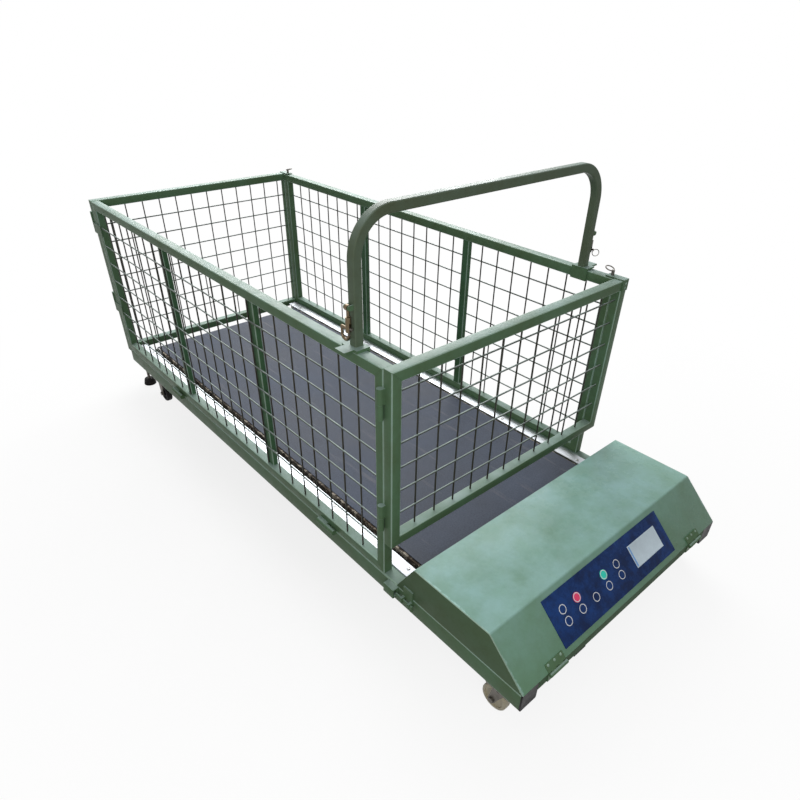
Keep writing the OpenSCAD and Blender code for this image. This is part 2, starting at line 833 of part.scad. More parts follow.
module rear_gate_hinges() color(paint) at_middle() {
    strap_hinges_gate();
    latch_plate(cage_rear - tube, rear_gate_y + tube + over, cage_rear - tube / 2, rear_gate_y + tube);
}

module front_gate_pin() color(zinc) at_middle() ring_pin(cage_front + tube / 2, 1);
module rear_gate_pin() color(zinc) at_middle() ring_pin(cage_rear - tube / 2, -1);

// Tether bar

module rounded_square(s, r) {
    square([s - 2 * r, s], center = true);
    square([s, s - 2 * r], center = true);
    for (x = [r - s / 2, s / 2 - r], y = [r - s / 2, s / 2 - r]) translate([x, y]) circle(r);
}

module bar_section() difference() {
    rounded_square(bar_s, bar_round);
    rounded_square(bar_s - 2 * bar_wall, bar_round - bar_wall);
}

module tether_bar() {
    leg_h = bar_h - bar_s / 2 - bar_bend;
    color(paint) at_middle() translate([0, bar_y, foot_z + foot_t]) {
        both() translate([bar_x, 0, 0]) linear_extrude(leg_h) bar_section();
        both() translate([bar_x - bar_bend, 0, leg_h]) rotate([90, 0, 0])
            rotate_extrude(angle = 90) translate([bar_bend, 0]) bar_section();
        translate([bar_bend - bar_x, 0, leg_h + bar_bend]) rotate([0, 90, 0])
            linear_extrude(2 * (bar_x - bar_bend)) bar_section();
    }
}

module snap_ears() for (y = [-1, 1]) {
    gap = snap_eye_w / 2 + turn_gap;
    y0 = y > 0 ? gap : -gap - snap_ear_t;
    box(-snap_off, 0, y0, y0 + snap_ear_t, -5, 5);
    rod_y(y0, y0 + snap_ear_t, 0, 0, 5);
}

module place_snap() translate([snap_x, bar_y, snap_z]) children();

module foot(low) {
    x0 = bar_x - bar_s / 2 - 4;
    cheek_x = half_w - tube - 2;
    box(x0, half_w + over, bar_y - foot_long / 2, bar_y + foot_long / 2, low, foot_z + foot_t);
    box(half_w, half_w + foot_tab_out, bar_y - foot_tab_w / 2, bar_y + foot_tab_w / 2, foot_z, foot_z + foot_t);
    box(cheek_x - cheek_t, cheek_x, bar_y - foot_long / 2, bar_y + foot_long / 2, panel_top - cheek_drop,
        foot_z + foot_t);
    place_snap() {
        snap_ears();
        gap = snap_eye_w / 2 + turn_gap + snap_ear_t;
        rod_y(-gap, gap, 0, 0, snap_pin_r);
    }
}

module tether_feet() color(paint) at_middle() {
    foot(foot_z);
    left() foot(panel_top + fit);
}

// Bolt snap: an eye on the bar's pin, a bored barrel, an arm and a hook whose tip meets the sliding bolt

module snap_body() {
    difference() {
        union() {
            rod_y(-snap_eye_w / 2, snap_eye_w / 2, 0, 0, snap_eye_r);
            rod_z(-20, 0, 0, 0, 3);
            rod_z(snap_barrel_end, -18, 0, 0, snap_barrel_r);
            rod_y(0, 2 * snap_hook_r, 0, snap_arm_z, snap_hook_wire);
            translate([0, 2 * snap_hook_r, snap_arm_z]) sphere(snap_hook_wire);
            rod_z(snap_tip_z, snap_arm_z, 0, 2 * snap_hook_r, snap_hook_wire);
            translate([0, snap_hook_r, snap_tip_z]) rotate([90, 180, 90]) rotate_extrude(angle = 180)
                translate([snap_hook_r, 0]) circle(snap_hook_wire);
        }
        rod_y(-snap_eye_w, snap_eye_w, 0, 0, snap_pin_r + fit);
        rod_z(snap_barrel_end - over, -24, 0, 0, snap_bolt_r + fit);
        box(-1.8, 1.8, -snap_barrel_r - over, 0, snap_barrel_end - over, -30);
    }
}

module snap_bolt() {
    rod_z(snap_tip_z + turn_gap, -24 - snap_travel - turn_gap, 0, 0, snap_bolt_r);
    rod_y(-snap_barrel_r - 4, 0, 0, -40, 1.5);
    rod_y(-snap_barrel_r - 5, -snap_barrel_r - turn_gap, 0, -40, 2.6);
}

module right_snap() color("#a58a52") at_middle() place_snap() snap_body();
module left_snap() color("#a58a52") at_middle() left() place_snap() snap_body();
module right_snap_bolt() color(zinc) at_middle() place_snap() snap_bolt();
module left_snap_bolt() color(zinc) at_middle() left() place_snap() snap_bolt();

// Hood

// Points round the ridge's bend, inset from the outer face; the bend's middle lies on the ridge's bisector
function ridge_bend(inset) =
    let (run = hood_bend * tan(slope / 2), mid = [ridge_y + run, hood_top - hood_bend], steps = 6)
    [for (i = [0 : steps]) let (t = 90 + slope - i * slope / steps) mid + (hood_bend - inset) * [cos(t), sin(t)]];

module hood_shell() {
    foot = sheet / sin(slope);
    inner = ridge_bend(sheet);
    count = len(inner);
    color(paint) at_middle() {
        side_plate(-half_w + sheet / 2, half_w - sheet / 2)
            polygon(concat([[0, hood_z]], ridge_bend(0), [[hood_rear_y, hood_top], [hood_rear_y, hood_top - sheet]],
                           [for (i = [0 : count - 1]) inner[count - 1 - i]], [[foot, hood_z]]));
        both() side_plate(half_w - sheet, half_w)
            polygon(concat([[0, hood_z]], ridge_bend(0),
                           [[hood_rear_y, hood_top], [hood_rear_y + hood_ear, hood_z]]));
    }
}

module hood_leaf() {
    x0 = hood_hinge_x - hood_knuckles * hood_knuckle_w / 2;
    x1 = hood_hinge_x + hood_knuckles * hood_knuckle_w / 2;
    difference() {
        union() {
            on_slope() box(x0, x1, turn_gap, hood_leaf_h, 0, hood_leaf_t);
            for (i = [1 : 2 : hood_knuckles - 1]) {
                x = x0 + i * hood_knuckle_w;
                hood_knuckle(x);
                on_slope() box(x + turn_gap / 2, x + hood_knuckle_w - turn_gap / 2, -hood_axis_out, over, 0,
                               hood_leaf_t);
            }
        }
        rod_x(x0 - over, x1 + over, -hood_axis_out, hood_axis_z, hood_pin_r + fit);
    }
}

// Plate on the hood's left side with two guides for the bolt, the front one slotted for the bolt's handle
module bolt_guide() {
    y0 = bolt_front + 6;
    y1 = y0 + 30;
    low = bolt_z - bolt_guide_h / 2;
    high = rail_top + bolt_plate_up;
    slot = bolt_handle_r + seam / 2;
    difference() {
        union() {
            box(bolt_plate_x, bolt_plate_x + bolt_plate_t, y0, y1, low, high);
            box(half_w, bolt_plate_x + over, y0, y1, hood_z + 3, high);
            for (y = [y0, y1 - bolt_guide_len])
                box(bolt_plate_x, bolt_guide_out, y, y + bolt_guide_len, low, low + bolt_guide_h);
        }
        rod_y(y0 - over, y1 + over, bolt_x, bolt_z, bolt_r + fit);
        box(bolt_x - slot, bolt_x + slot, y0 - over, y1 - bolt_guide_len - 2, low - over, bolt_z);
    }
}

module hood_hinges() color(paint) at_middle() {
    both() hood_leaf();
    left() bolt_guide();
}

module hood_bolt() color(paint) at_middle() left() {
    y = bolt_front + bolt_r - seam;
    rod_y(bolt_front, bolt_rear, bolt_x, bolt_z, bolt_r);
    rod_z(bolt_z - bolt_handle_len, bolt_z, bolt_x, y, bolt_handle_r);
    translate([bolt_x, y, bolt_z - bolt_handle_len]) sphere(bolt_handle_r + 1);
}

// Key panel

function key_x(i) = key_first_x + key_places[i][0] * key_pitch;
function key_s(i) = panel_mid_s + key_places[i][1] * key_row;

module panel_overlay() color("#18224f") at_middle() on_slope() difference() {
    translate([panel_mid_x - panel_w / 2, panel_mid_s - panel_h / 2, 0]) cube([panel_w, panel_h, panel_t]);
    for (i = [0 : len(key_places) - 1])
        translate([key_x(i), key_s(i), -over]) cylinder(h = panel_t + 2 * over, d = key_d + 2 * key_gap);
    translate([window_x - window_w / 2 - window_gap, panel_mid_s - window_h / 2 - window_gap, -over])
        cube([window_w + 2 * window_gap, window_h + 2 * window_gap, panel_t + 2 * over]);
}

module display_window() color("#b9c2cc") at_middle() on_slope()
    translate([window_x - window_w / 2, panel_mid_s - window_h / 2, 0]) cube([window_w, window_h, panel_t + 0.3]);

module key(i) at_middle() on_slope() translate([key_x(i), key_s(i), panel_t + key_proud - key_t])
    cylinder(h = key_t, d = key_d);

module key_1() color("#18224f") key(0);
module key_2() color("#d83a55") key(1);
module key_3() color("#2fc4b0") key(2);
module key_4() color("#18224f") key(3);
module key_5() color("#18224f") key(4);
module key_6() color("#18224f") key(5);
module key_7() color("#18224f") key(6);
module key_8() color("#18224f") key(7);
module key_9() color("#18224f") key(8);

base_rails();
cross_members();
rail_caps();
deck_board();
running_belt();
side_strips();
strip_screws();
drive_roller();
drive_pulley();
rear_roller();
bearing_blocks();
tension_bolts();
motor_tray();
motor();
motor_pulley();
drive_belt();
controller_box();
caster_mounts();
left_fork();
right_fork();
front_left_wheel();
front_right_wheel();
rear_left_wheel();
rear_right_wheel();
rear_feet();
base_hinges();
left_panel_frame();
left_panel_mesh();
left_panel_hinges();
right_panel_frame();
right_panel_mesh();
right_panel_hinges();
front_gate_frame();
front_gate_mesh();
front_gate_hinges();
front_gate_pin();
rear_gate_frame();
rear_gate_mesh();
rear_gate_hinges();
rear_gate_pin();
tether_bar();
tether_feet();
left_snap();
left_snap_bolt();
right_snap();
right_snap_bolt();
hood_shell();
hood_hinges();
hood_bolt();
panel_overlay();
display_window();
key_1();
key_2();
key_3();
key_4();
key_5();
key_6();
key_7();
key_8();
key_9();
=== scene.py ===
"""Dog treadmill: looks for its base, running belt, folding mesh cage, tether bar, hood and key panel."""
import json
import math

import bmesh
import bpy
from mathutils import Euler, Matrix, Vector


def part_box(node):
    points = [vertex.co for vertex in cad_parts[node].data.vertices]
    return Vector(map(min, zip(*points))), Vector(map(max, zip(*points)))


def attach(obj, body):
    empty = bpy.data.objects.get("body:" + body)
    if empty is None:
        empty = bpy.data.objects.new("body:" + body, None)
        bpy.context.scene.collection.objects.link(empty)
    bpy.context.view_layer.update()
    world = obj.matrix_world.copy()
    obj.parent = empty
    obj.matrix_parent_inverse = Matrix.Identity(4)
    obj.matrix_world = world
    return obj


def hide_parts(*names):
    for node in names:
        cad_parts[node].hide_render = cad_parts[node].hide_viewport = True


bl_info = {
    "name": "Dog Treadmill",
    "version": (1, 0, 0),
    "blender": (4, 5, 0),
    "location": "View3D > Sidebar > Treadmill",
    "description": "Models and finishes a dog treadmill with a folding mesh cage",
    "category": "Add Mesh",
}

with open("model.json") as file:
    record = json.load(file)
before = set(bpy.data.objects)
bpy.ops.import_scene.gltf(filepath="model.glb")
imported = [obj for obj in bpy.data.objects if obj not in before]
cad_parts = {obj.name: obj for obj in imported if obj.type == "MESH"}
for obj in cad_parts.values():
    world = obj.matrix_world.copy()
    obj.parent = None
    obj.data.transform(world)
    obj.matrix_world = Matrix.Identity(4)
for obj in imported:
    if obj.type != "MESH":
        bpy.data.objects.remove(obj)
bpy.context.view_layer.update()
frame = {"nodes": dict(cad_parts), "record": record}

# How near a plane a point counts as on it, and how straight an edge runs along an axis
TOUCH = 1e-5
PARALLEL = 0.999
# Share of a normal along an axis for a face that leans, looks or looks squarely that way
LEANING = 0.5
FACING = 0.9
FLAT = 0.99
# Angles between two faces from which their edge is shaded sharp, or is rounded
SMOOTH_ANGLE = 0.6
SHARP_ANGLE = 0.7
# Directions across and up, and the middle of the frame's floor
ACROSS = Vector((1, 0, 0))
UP = Vector((0, 0, 1))
ORIGIN = Vector((0, 0, 0))


def tone(red, green, blue):
    """A screen colour of 0 to 255 as the linear colour that the shaders read."""
    levels = []
    for level in (red, green, blue):
        share = level / 255
        levels.append(share / 12.92 if share <= 0.04045 else ((share + 0.055) / 1.055) ** 2.4)
    return tuple(levels)


def scaled(shade, share):
    """A colour made darker or paler by a share."""
    return tuple(share * part for part in shade)


def length(title, text, size):
    """A length in metres that a user may change."""
    return bpy.props.FloatProperty(
        name=title, description=text, default=size, min=0.0, unit="LENGTH", precision=4)


def colour(title, text, shade):
    """A colour that a user may change."""
    return bpy.props.FloatVectorProperty(
        name=title, description=text, default=shade, size=3, min=0.0, max=1.0, subtype="COLOR")


class TreadmillSizes(bpy.types.PropertyGroup):
    """Sizes of the treadmill's dressed pieces."""
    cage_tube: length("Cage tube", "Side of the cage's square tube", 0.025)
    post_depth: length("Post depth", "Depth of a side panel's middle posts", 0.016)
    tube_round: length("Tube rounding", "Corner radius of the cage's tube", 0.0022)
    rail_width: length("Rail width", "Width of a base rail", 0.05)
    rail_round: length("Rail rounding", "Corner radius of a base rail", 0.0035)
    cap_flange: length("Cap flange", "Thickness of a rail cap's flange", 0.004)
    sheet: length("Hood sheet", "Thickness of the hood's sheet", 0.002)
    ridge_in: length("Ridge", "Ridge of the hood behind its front edge", 0.097)
    ear: length("Hood ear", "Reach of the hood's sides behind its top", 0.054)
    ridge_bend: length("Ridge bend", "Bend radius along the hood's ridge", 0.008)
    side_bend: length("Side bend", "Rounding between the hood's top and its sides", 0.0022)
    strip_width: length("Strip width", "Width of a side strip", 0.032)
    wheel_radius: length("Wheel radius", "Radius of the wheels", 0.032)
    key_radius: length("Key radius", "Radius of a key on the panel", 0.011)
    window_width: length("Window width", "Width of the display window", 0.112)
    window_height: length("Window height", "Height of the display window", 0.054)


class TreadmillColours(bpy.types.PropertyGroup):
    """Colours of the treadmill's finishes."""
    paint: colour("Paint", "Sea-green paint of the base and the cage", tone(94, 124, 93))
    # The posts' paint is the cage paint made darker: painted shade on the posts set back behind the mesh.
    post: colour("Post paint", "Paint of the side panels' middle posts", tone(76, 112, 82))
    bar: colour("Bar paint", "Paint of the tether bar", tone(99, 114, 94))
    hood: colour("Hood paint", "Brighter sea-green paint of the hood", tone(108, 149, 113))
    # The hood's sides take a darker copy of the hood paint: painted shade on the sides that face away from
    # the light.
    hood_side: colour("Hood sides", "Paint of the hood's upright sides", tone(95, 119, 92))
    # The paler edge colour is rubbed paint with a painted highlight along the rounded corners.
    edge: colour("Paint edge", "Rubbed paint on the tubes' edges", tone(150, 178, 160))
    primer: colour("Worn paint", "Darker green where the paint is thin", tone(44, 60, 46))
    # The pale film on paint that looks up is dust with a painted sheen and painted top light.
    dust_and_sheen: colour("Haze", "Pale film on paint that looks up", tone(178, 198, 198))
    # The hood's pale bluish film is mostly a painted sheen and painted top light, with some dust.
    hood_dust_and_sheen: colour("Hood haze", "Pale film on the hood's top", tone(168, 206, 210))
    wire: colour("Wire", "Dipped wire of the mesh", tone(54, 54, 46))
    # The wire's pale upper side is dust with a painted highlight from the light above.
    wire_dust_and_highlight: colour("Wire haze", "Pale film on the wire's upper side", tone(190, 210, 204))
    motor: colour("Motor", "Enamel of the motor", tone(70, 74, 80))
    motor_haze: colour("Motor dust", "Dust on the motor", tone(120, 118, 112))
    strip: colour("Strip", "Bright side strips", tone(202, 206, 211))
    zinc: colour("Zinc", "Plated steel", tone(190, 191, 190))
    steel: colour("Steel", "Bare pins, snaps and forks", tone(104, 100, 94))
    brass: colour("Brass", "Hooks of the tether bar", tone(108, 94, 74))
    iron: colour("Iron", "Cast bearing blocks", tone(66, 67, 70))
    black: colour("Black", "Moulded plastic and rubber", tone(20, 20, 21))
    # The cream is set darker than the wheels' own, partly painted shade for the wheels under the base.
    cream: colour("Cream", "Front wheels", tone(182, 174, 150))
    dust: colour("Dust", "Dust on plastic and rubber", tone(120, 112, 100))
    belt: colour("Belt", "Face of the running belt", tone(72, 79, 93))
    belt_lint: colour("Belt lint", "Pale lint on the belt", tone(132, 130, 134))
    wood: colour("Deck", "Board under the belt", tone(84, 70, 56))
    wood_lint: colour("Deck lint", "Pale lint on the board", tone(184, 174, 160))
    panel: colour("Panel", "Film of the key panel", tone(31, 66, 127))
    key_red: colour("Red key", "Film of the red key", tone(250, 62, 116))
    key_green: colour("Turquoise key", "Film of the turquoise key", tone(24, 236, 210))
    print_white: colour("White print", "Rings printed round the keys", tone(240, 242, 246))
    screen: colour("Screen", "Pane of the display", tone(220, 237, 247))
    backlight: colour("Backlight", "Lit edge of the display", tone(120, 176, 240))


def deselect():
    """Leaves edit mode and deselects every object."""
    if bpy.context.object and bpy.context.object.mode != "OBJECT":
        close_edit()
    bpy.ops.object.select_all(action="DESELECT")


def choose(piece):
    """Makes one piece the only selected and active one."""
    deselect()
    piece.select_set(True)
    bpy.context.view_layer.objects.active = piece


def edit(piece):
    """Opens one piece in edit mode."""
    choose(piece)
    bpy.ops.object.mode_set(mode="EDIT")


def close_edit():
    """Leaves edit mode."""
    bpy.ops.object.mode_set(mode="OBJECT")


def apply_place():
    """Puts the chosen piece's place, turn and scale into its mesh."""
    bpy.ops.object.transform_apply(location=True, rotation=True, scale=True)


def settle(piece):
    """Closes a piece, puts its place into its mesh and smooths its round faces."""
    choose(piece)
    apply_place()
    bpy.ops.object.shade_smooth_by_angle(angle=SMOOTH_ANGLE)
    return piece


def middle(item):
    """Middle of an edge or a face."""
    if isinstance(item, bmesh.types.BMEdge):
        return (item.verts[0].co + item.verts[1].co) / 2
    return item.calc_center_median()


def pick(piece, domain, test):
    """Selects, in edit mode, the verts, edges or faces that pass the test."""
    kinds = {"verts": "VERT", "edges": "EDGE", "faces": "FACE"}
    bpy.ops.mesh.select_mode(type=kinds[domain])
    bpy.ops.mesh.select_all(action="DESELECT")
    grid = bmesh.from_edit_mesh(piece.data)
    for item in getattr(grid, domain):
        if test(item):
            item.select_set(True)
    grid.select_flush_mode()
    bmesh.update_edit_mesh(piece.data)


def finish_faces(piece, slot, test):
    """Puts, in edit mode, the finish of a slot on the faces that pass the test."""
    grid = bmesh.from_edit_mesh(piece.data)
    for face in grid.faces:
        if test(face):
            face.material_index = slot
    bmesh.update_edit_mesh(piece.data)


def runs_along(edge, axis):
    """Whether an edge is parallel to an axis."""
    line = edge.verts[1].co - edge.verts[0].co
    return abs(line[axis]) > PARALLEL * line.length


def looks_up(face):
    """Whether a face looks up."""
    return face.normal.z > FACING


def looks_aside(face):
    """Whether a face looks to the left or to the right."""
    return abs(face.normal.x) > FACING


def move(step):
    """Moves what is selected in edit mode."""
    bpy.ops.transform.translate(value=step)


def extrude(step):
    """Draws the selected faces out by a step."""
    bpy.ops.mesh.extrude_region_move(TRANSFORM_OT_translate={"value": step})


def bevel(radius, segments, slot=-1):
    """Rounds the selected edges, with the finish of a slot on them."""
    bpy.ops.mesh.bevel(offset=radius, segments=segments, affect="EDGES", material=slot)


def rename(piece, name):
    """Names an object and its mesh."""
    piece.name = name
    piece.data.name = name
    return piece


def primitive(name, add, **values):
    """A new primitive with its name, chosen alone."""
    deselect()
    add(**values)
    return rename(bpy.context.object, name)


def block(name, low, high):
    """A box between two corners, ready to be shaped."""
    low = Vector(low)
    high = Vector(high)
    piece = primitive(name, bpy.ops.mesh.primitive_cube_add, size=1, location=(low + high) / 2)
    piece.scale = high - low
    apply_place()
    return piece


def disc(name, radius, depth, sides):
    """A round slug about the origin, ready to be shaped."""
    add = bpy.ops.mesh.primitive_cylinder_add
    return primitive(name, add, vertices=sides, radius=radius, depth=depth, location=ORIGIN)


def join(name, pieces):
    """Joins pieces into one object."""
    choose(pieces[0])
    for piece in pieces:
        piece.select_set(True)
    bpy.ops.object.join()
    return rename(pieces[0], name)


def copy_of(piece, name, place, turn=(0, 0, 0)):
    """A copy with a mesh of its own, moved and turned in that mesh."""
    twin = piece.copy()
    twin.data = piece.data.copy()
    rename(twin, name)
    bpy.context.collection.objects.link(twin)
    choose(twin)
    twin.rotation_euler = turn
    twin.location = place
    apply_place()
    return twin


def apply_modifier(piece, kind, **values):
    """Adds a modifier with its values and applies it."""
    choose(piece)
    step = piece.modifiers.new(kind.title(), kind)
    for key, value in values.items():
        setattr(step, key, value)
    bpy.ops.object.modifier_apply(modifier=step.name)


def soften(piece, width, angle=SHARP_ANGLE):
    """Rounds every edge of a piece that is sharper than an angle."""
    apply_modifier(piece, "BEVEL", width=width, segments=2, limit_method="ANGLE", angle_limit=angle)


def lathe(name, outline, centre, axis, radial, steps):
    """Spins an outline of (along, out) points about an axis through a centre."""
    points = [centre + axis * along + radial * out for along, out in outline]
    piece = primitive(name, bpy.ops.mesh.primitive_plane_add, size=0.001, location=points[0])
    apply_place()
    edit(piece)
    bpy.ops.mesh.select_mode(type="VERT")
    bpy.ops.mesh.select_all(action="SELECT")
    bpy.ops.mesh.merge(type="CENTER")
    for last, point in zip(points, points[1:]):
        bpy.ops.mesh.extrude_vertices_move(TRANSFORM_OT_translate={"value": point - last})
    bpy.ops.mesh.select_all(action="SELECT")
    bpy.ops.mesh.spin(steps=steps, angle=2 * math.pi, center=centre, axis=axis)
    bpy.ops.mesh.select_all(action="SELECT")
    bpy.ops.mesh.remove_doubles(threshold=2 * TOUCH)
    bpy.ops.mesh.normals_make_consistent(inside=False)
    return settle(piece)


def dress(piece, *names):
    """Gives a piece the slots of its finishes."""
    for name in names:
        piece.data.materials.append(FINISH[name])
    return piece


def hand_over(piece, body, slot, *nodes):
    """Settles a dressed piece on the body it rides on, and hides the nodes it stands for."""
    settle(piece)
    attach(piece, body)
    if nodes:
        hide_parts(*nodes)


class Wiring:
    """Places and links nodes in one node tree."""

    def __init__(self, tree):
        self.tree = tree

    def add(self, kind, **values):
        """A new node with its settings."""
        node = self.tree.nodes.new(kind)
        for key, value in values.items():
            setattr(node, key, value)
        return node

    def put(self, value, socket):
        """Sets a plain number, vector or colour on a socket, or links another socket to it."""
        if isinstance(value, (int, float)):
            socket.default_value = value
        elif isinstance(value, tuple):
            socket.default_value = (*value, 1.0)[:len(socket.default_value)]
        else:
            self.tree.links.new(value, socket)

    def fill(self, node, output, **values):
        """Puts values on a node's inputs and gives one of its outputs."""
        for title, value in values.items():
            self.put(value, node.inputs[title.replace("_", " ")])
        return node.outputs[output]

    def noise(self, vector, scale, detail, roughness):
        """Cloudy noise of a scale per metre."""
        node = self.add("ShaderNodeTexNoise")
        return self.fill(node, "Fac", Vector=vector, Scale=scale, Detail=detail, Roughness=roughness)

    def span(self, value, low, high, to_low=0.0, to_high=1.0):
        """A value taken from one span to another and held there."""
        node = self.add("ShaderNodeMapRange", clamp=True)
        spans = {"From_Min": low, "From_Max": high, "To_Min": to_low, "To_Max": to_high}
        return self.fill(node, "Result", Value=value, **spans)

    def sums(self, action, first, second=0.0):
        """One sum of two values."""
        node = self.add("ShaderNodeMath", operation=action)
        self.put(first, node.inputs[0])
        self.put(second, node.inputs[1])
        return node.outputs["Value"]

    def plus(self, first, second):
        """Two values added."""
        return self.sums("ADD", first, second)

    def times(self, first, second):
        """Two values multiplied."""
        return self.sums("MULTIPLY", first, second)

    def stretch(self, vector, scale):
        """A vector scaled along each axis."""
        node = self.add("ShaderNodeVectorMath", operation="MULTIPLY")
        self.put(vector, node.inputs[0])
        self.put(scale, node.inputs[1])
        return node.outputs["Vector"]

    def along(self, vector, axis):
        """A vector's share along an axis."""
        return self.fill(self.add("ShaderNodeSeparateXYZ"), axis, Vector=vector)

    def blend(self, share, first, second, action="MIX"):
        """Two colours mixed by a share."""
        node = self.add("ShaderNodeMix", data_type="RGBA", blend_type=action)
        for socket, value in ((0, share), (6, first), (7, second)):
            self.put(value, node.inputs[socket])
        return node.outputs[2]

    def tint(self, shade, factor):
        """A colour multiplied by another."""
        return self.blend(1.0, shade, factor, "MULTIPLY")


# What each skin takes beside its colours, with the values that a finish has where it gives no others.
# On the paint, Level is the slope from which dust and a painted sheen gather on faces that look up, and
# Dusty is their share; no piece reaches as far across as this Rim.
PAINT_SKIN = {"Mottle": 0.9, "Wear": 0.7, "Dusty": 0.7, "Level": 0.3, "Gloss": 0.34, "Rim": 9.0}
METAL_SKIN = {"Lines": (220.0, 220.0, 60.0), "Stain": 0.5, "Gloss": 0.34}
MOULD_SKIN = {"Dusty": 0.03, "Patch": 0.15, "Grain": 1400.0, "Gloss": 0.2}


def skin_group(name, colours, values):
    """A shader node group with named inputs that puts out a colour, a roughness and a height."""
    group = bpy.data.node_groups.new(name, "ShaderNodeTree")
    kinds = dict.fromkeys(colours, "NodeSocketColor")
    for title, value in values.items():
        kinds[title] = "NodeSocketVector" if isinstance(value, tuple) else "NodeSocketFloat"
    for title, kind in kinds.items():
        socket = group.interface.new_socket(name=title, in_out="INPUT", socket_type=kind)
        if title in values:
            socket.default_value = values[title]
    outputs = {"Color": "NodeSocketColor", "Roughness": "NodeSocketFloat", "Height": "NodeSocketFloat"}
    for title, kind in outputs.items():
        group.interface.new_socket(name=title, in_out="OUTPUT", socket_type=kind)
    wiring = Wiring(group)
    entry = wiring.add("NodeGroupInput")
    leave = wiring.add("NodeGroupOutput")
    return group, wiring, entry.outputs, leave.inputs


def paint_film():
    """Sprayed paint: mottling, orange peel, thin spots, dust with a painted sheen on faces that look up,
    and a rubbed rim with a painted highlight.
    """
    group, wiring, entry, leave = skin_group("Paint film", ("Color", "Thin", "Dust"), PAINT_SKIN)
    spot = wiring.add("ShaderNodeTexCoord").outputs
    place = spot["Object"]
    # Mottling between a darker, warmer shade and a paler one
    cloud = wiring.noise(place, 7.0, 4.0, 0.6)
    drift = wiring.noise(place, 46.0, 5.0, 0.65)
    mixed = wiring.plus(wiring.times(cloud, 0.65), wiring.times(drift, 0.35))
    pale = wiring.tint(entry["Color"], (1.22, 1.24, 1.34))
    dark = wiring.tint(entry["Color"], (0.9, 0.8, 0.68))
    shades = wiring.blend(wiring.span(mixed, 0.32, 0.68), dark, pale)
    body = wiring.blend(entry["Mottle"], entry["Color"], shades)
    # Small spots where the paint is thin
    chips = wiring.noise(place, 130.0, 9.0, 0.74)
    spots = wiring.times(wiring.span(chips, 0.66, 0.7), wiring.span(drift, 0.5, 0.62))
    worn = wiring.times(spots, entry["Wear"])
    # Dust with a painted sheen and painted top light on faces that look up, with the paint showing through
    # it in patches
    raised = wiring.span(wiring.along(spot["Normal"], "Z"), entry["Level"], 1.0)
    patches = wiring.span(wiring.noise(place, 17.0, 5.0, 0.62), 0.36, 0.64, 0.66, 1.0)
    dust_and_sheen_spread = wiring.times(wiring.span(cloud, 0.3, 0.68, 0.6, 1.0), patches)
    dust_and_sheen_share = wiring.times(wiring.times(raised, dust_and_sheen_spread), entry["Dusty"])
    with_dust_and_sheen = wiring.blend(dust_and_sheen_share, body, entry["Dust"])
    # Paler flakes along the rim, to the left and to the right: worn paint with a painted highlight along
    # the sheet's edge
    reach = wiring.sums("SUBTRACT", wiring.sums("ABSOLUTE", wiring.along(place, "X")), entry["Rim"])
    rim = wiring.span(reach, 0.0, 0.005)
    flakes = wiring.plus(wiring.noise(place, 24.0, 7.0, 0.68), wiring.times(rim, 0.14))
    rim_rub_and_highlight = wiring.times(wiring.span(flakes, 0.6, 0.7), wiring.span(rim, 0.0, 0.3))
    rim_bare_and_highlight = wiring.tint(entry["Dust"], (1.3, 1.22, 1.12))
    edged = wiring.blend(wiring.times(rim_rub_and_highlight, 0.65), with_dust_and_sheen, rim_bare_and_highlight)
    wiring.put(wiring.blend(worn, edged, entry["Thin"]), leave["Color"])
    sheen = wiring.span(wiring.noise(place, 24.0, 5.0, 0.7), 0.3, 0.7, -0.06, 0.1)
    rough = wiring.plus(wiring.plus(entry["Gloss"], sheen), wiring.times(worn, 0.25))
    wiring.put(rough, leave["Roughness"])
    peel = wiring.times(wiring.noise(place, 520.0, 2.0, 0.5), 0.35)
    wave = wiring.times(wiring.noise(place, 60.0, 2.0, 0.5), 0.65)
    relief = wiring.sums("SUBTRACT", wiring.plus(peel, wave), wiring.times(worn, 0.6))
    wiring.put(relief, leave["Height"])
    return group


def brushed_grain():
    """Drawn or plated metal: fine lines along one direction and cloudy stains."""
    group, wiring, entry, leave = skin_group("Brushed grain", ("Color",), METAL_SKIN)
    place = wiring.add("ShaderNodeTexCoord").outputs["Object"]
    lines = wiring.noise(wiring.stretch(place, entry["Lines"]), 1.0, 3.0, 0.6)
    cloud = wiring.noise(place, 38.0, 6.0, 0.7)
    spread = wiring.blend(wiring.span(lines, 0.25, 0.75), (0.82, 0.82, 0.83), (1.06, 1.06, 1.05))
    drawn = wiring.tint(entry["Color"], spread)
    dull = wiring.tint(entry["Color"], (0.62, 0.62, 0.6))
    stain = wiring.times(wiring.span(cloud, 0.5, 0.74), entry["Stain"])
    wiring.put(wiring.blend(stain, drawn, dull), leave["Color"])
    rough = wiring.plus(entry["Gloss"], wiring.span(lines, 0.2, 0.8, -0.05, 0.1))
    wiring.put(wiring.plus(rough, wiring.times(stain, 0.25)), leave["Roughness"])
    wiring.put(lines, leave["Height"])
    return group


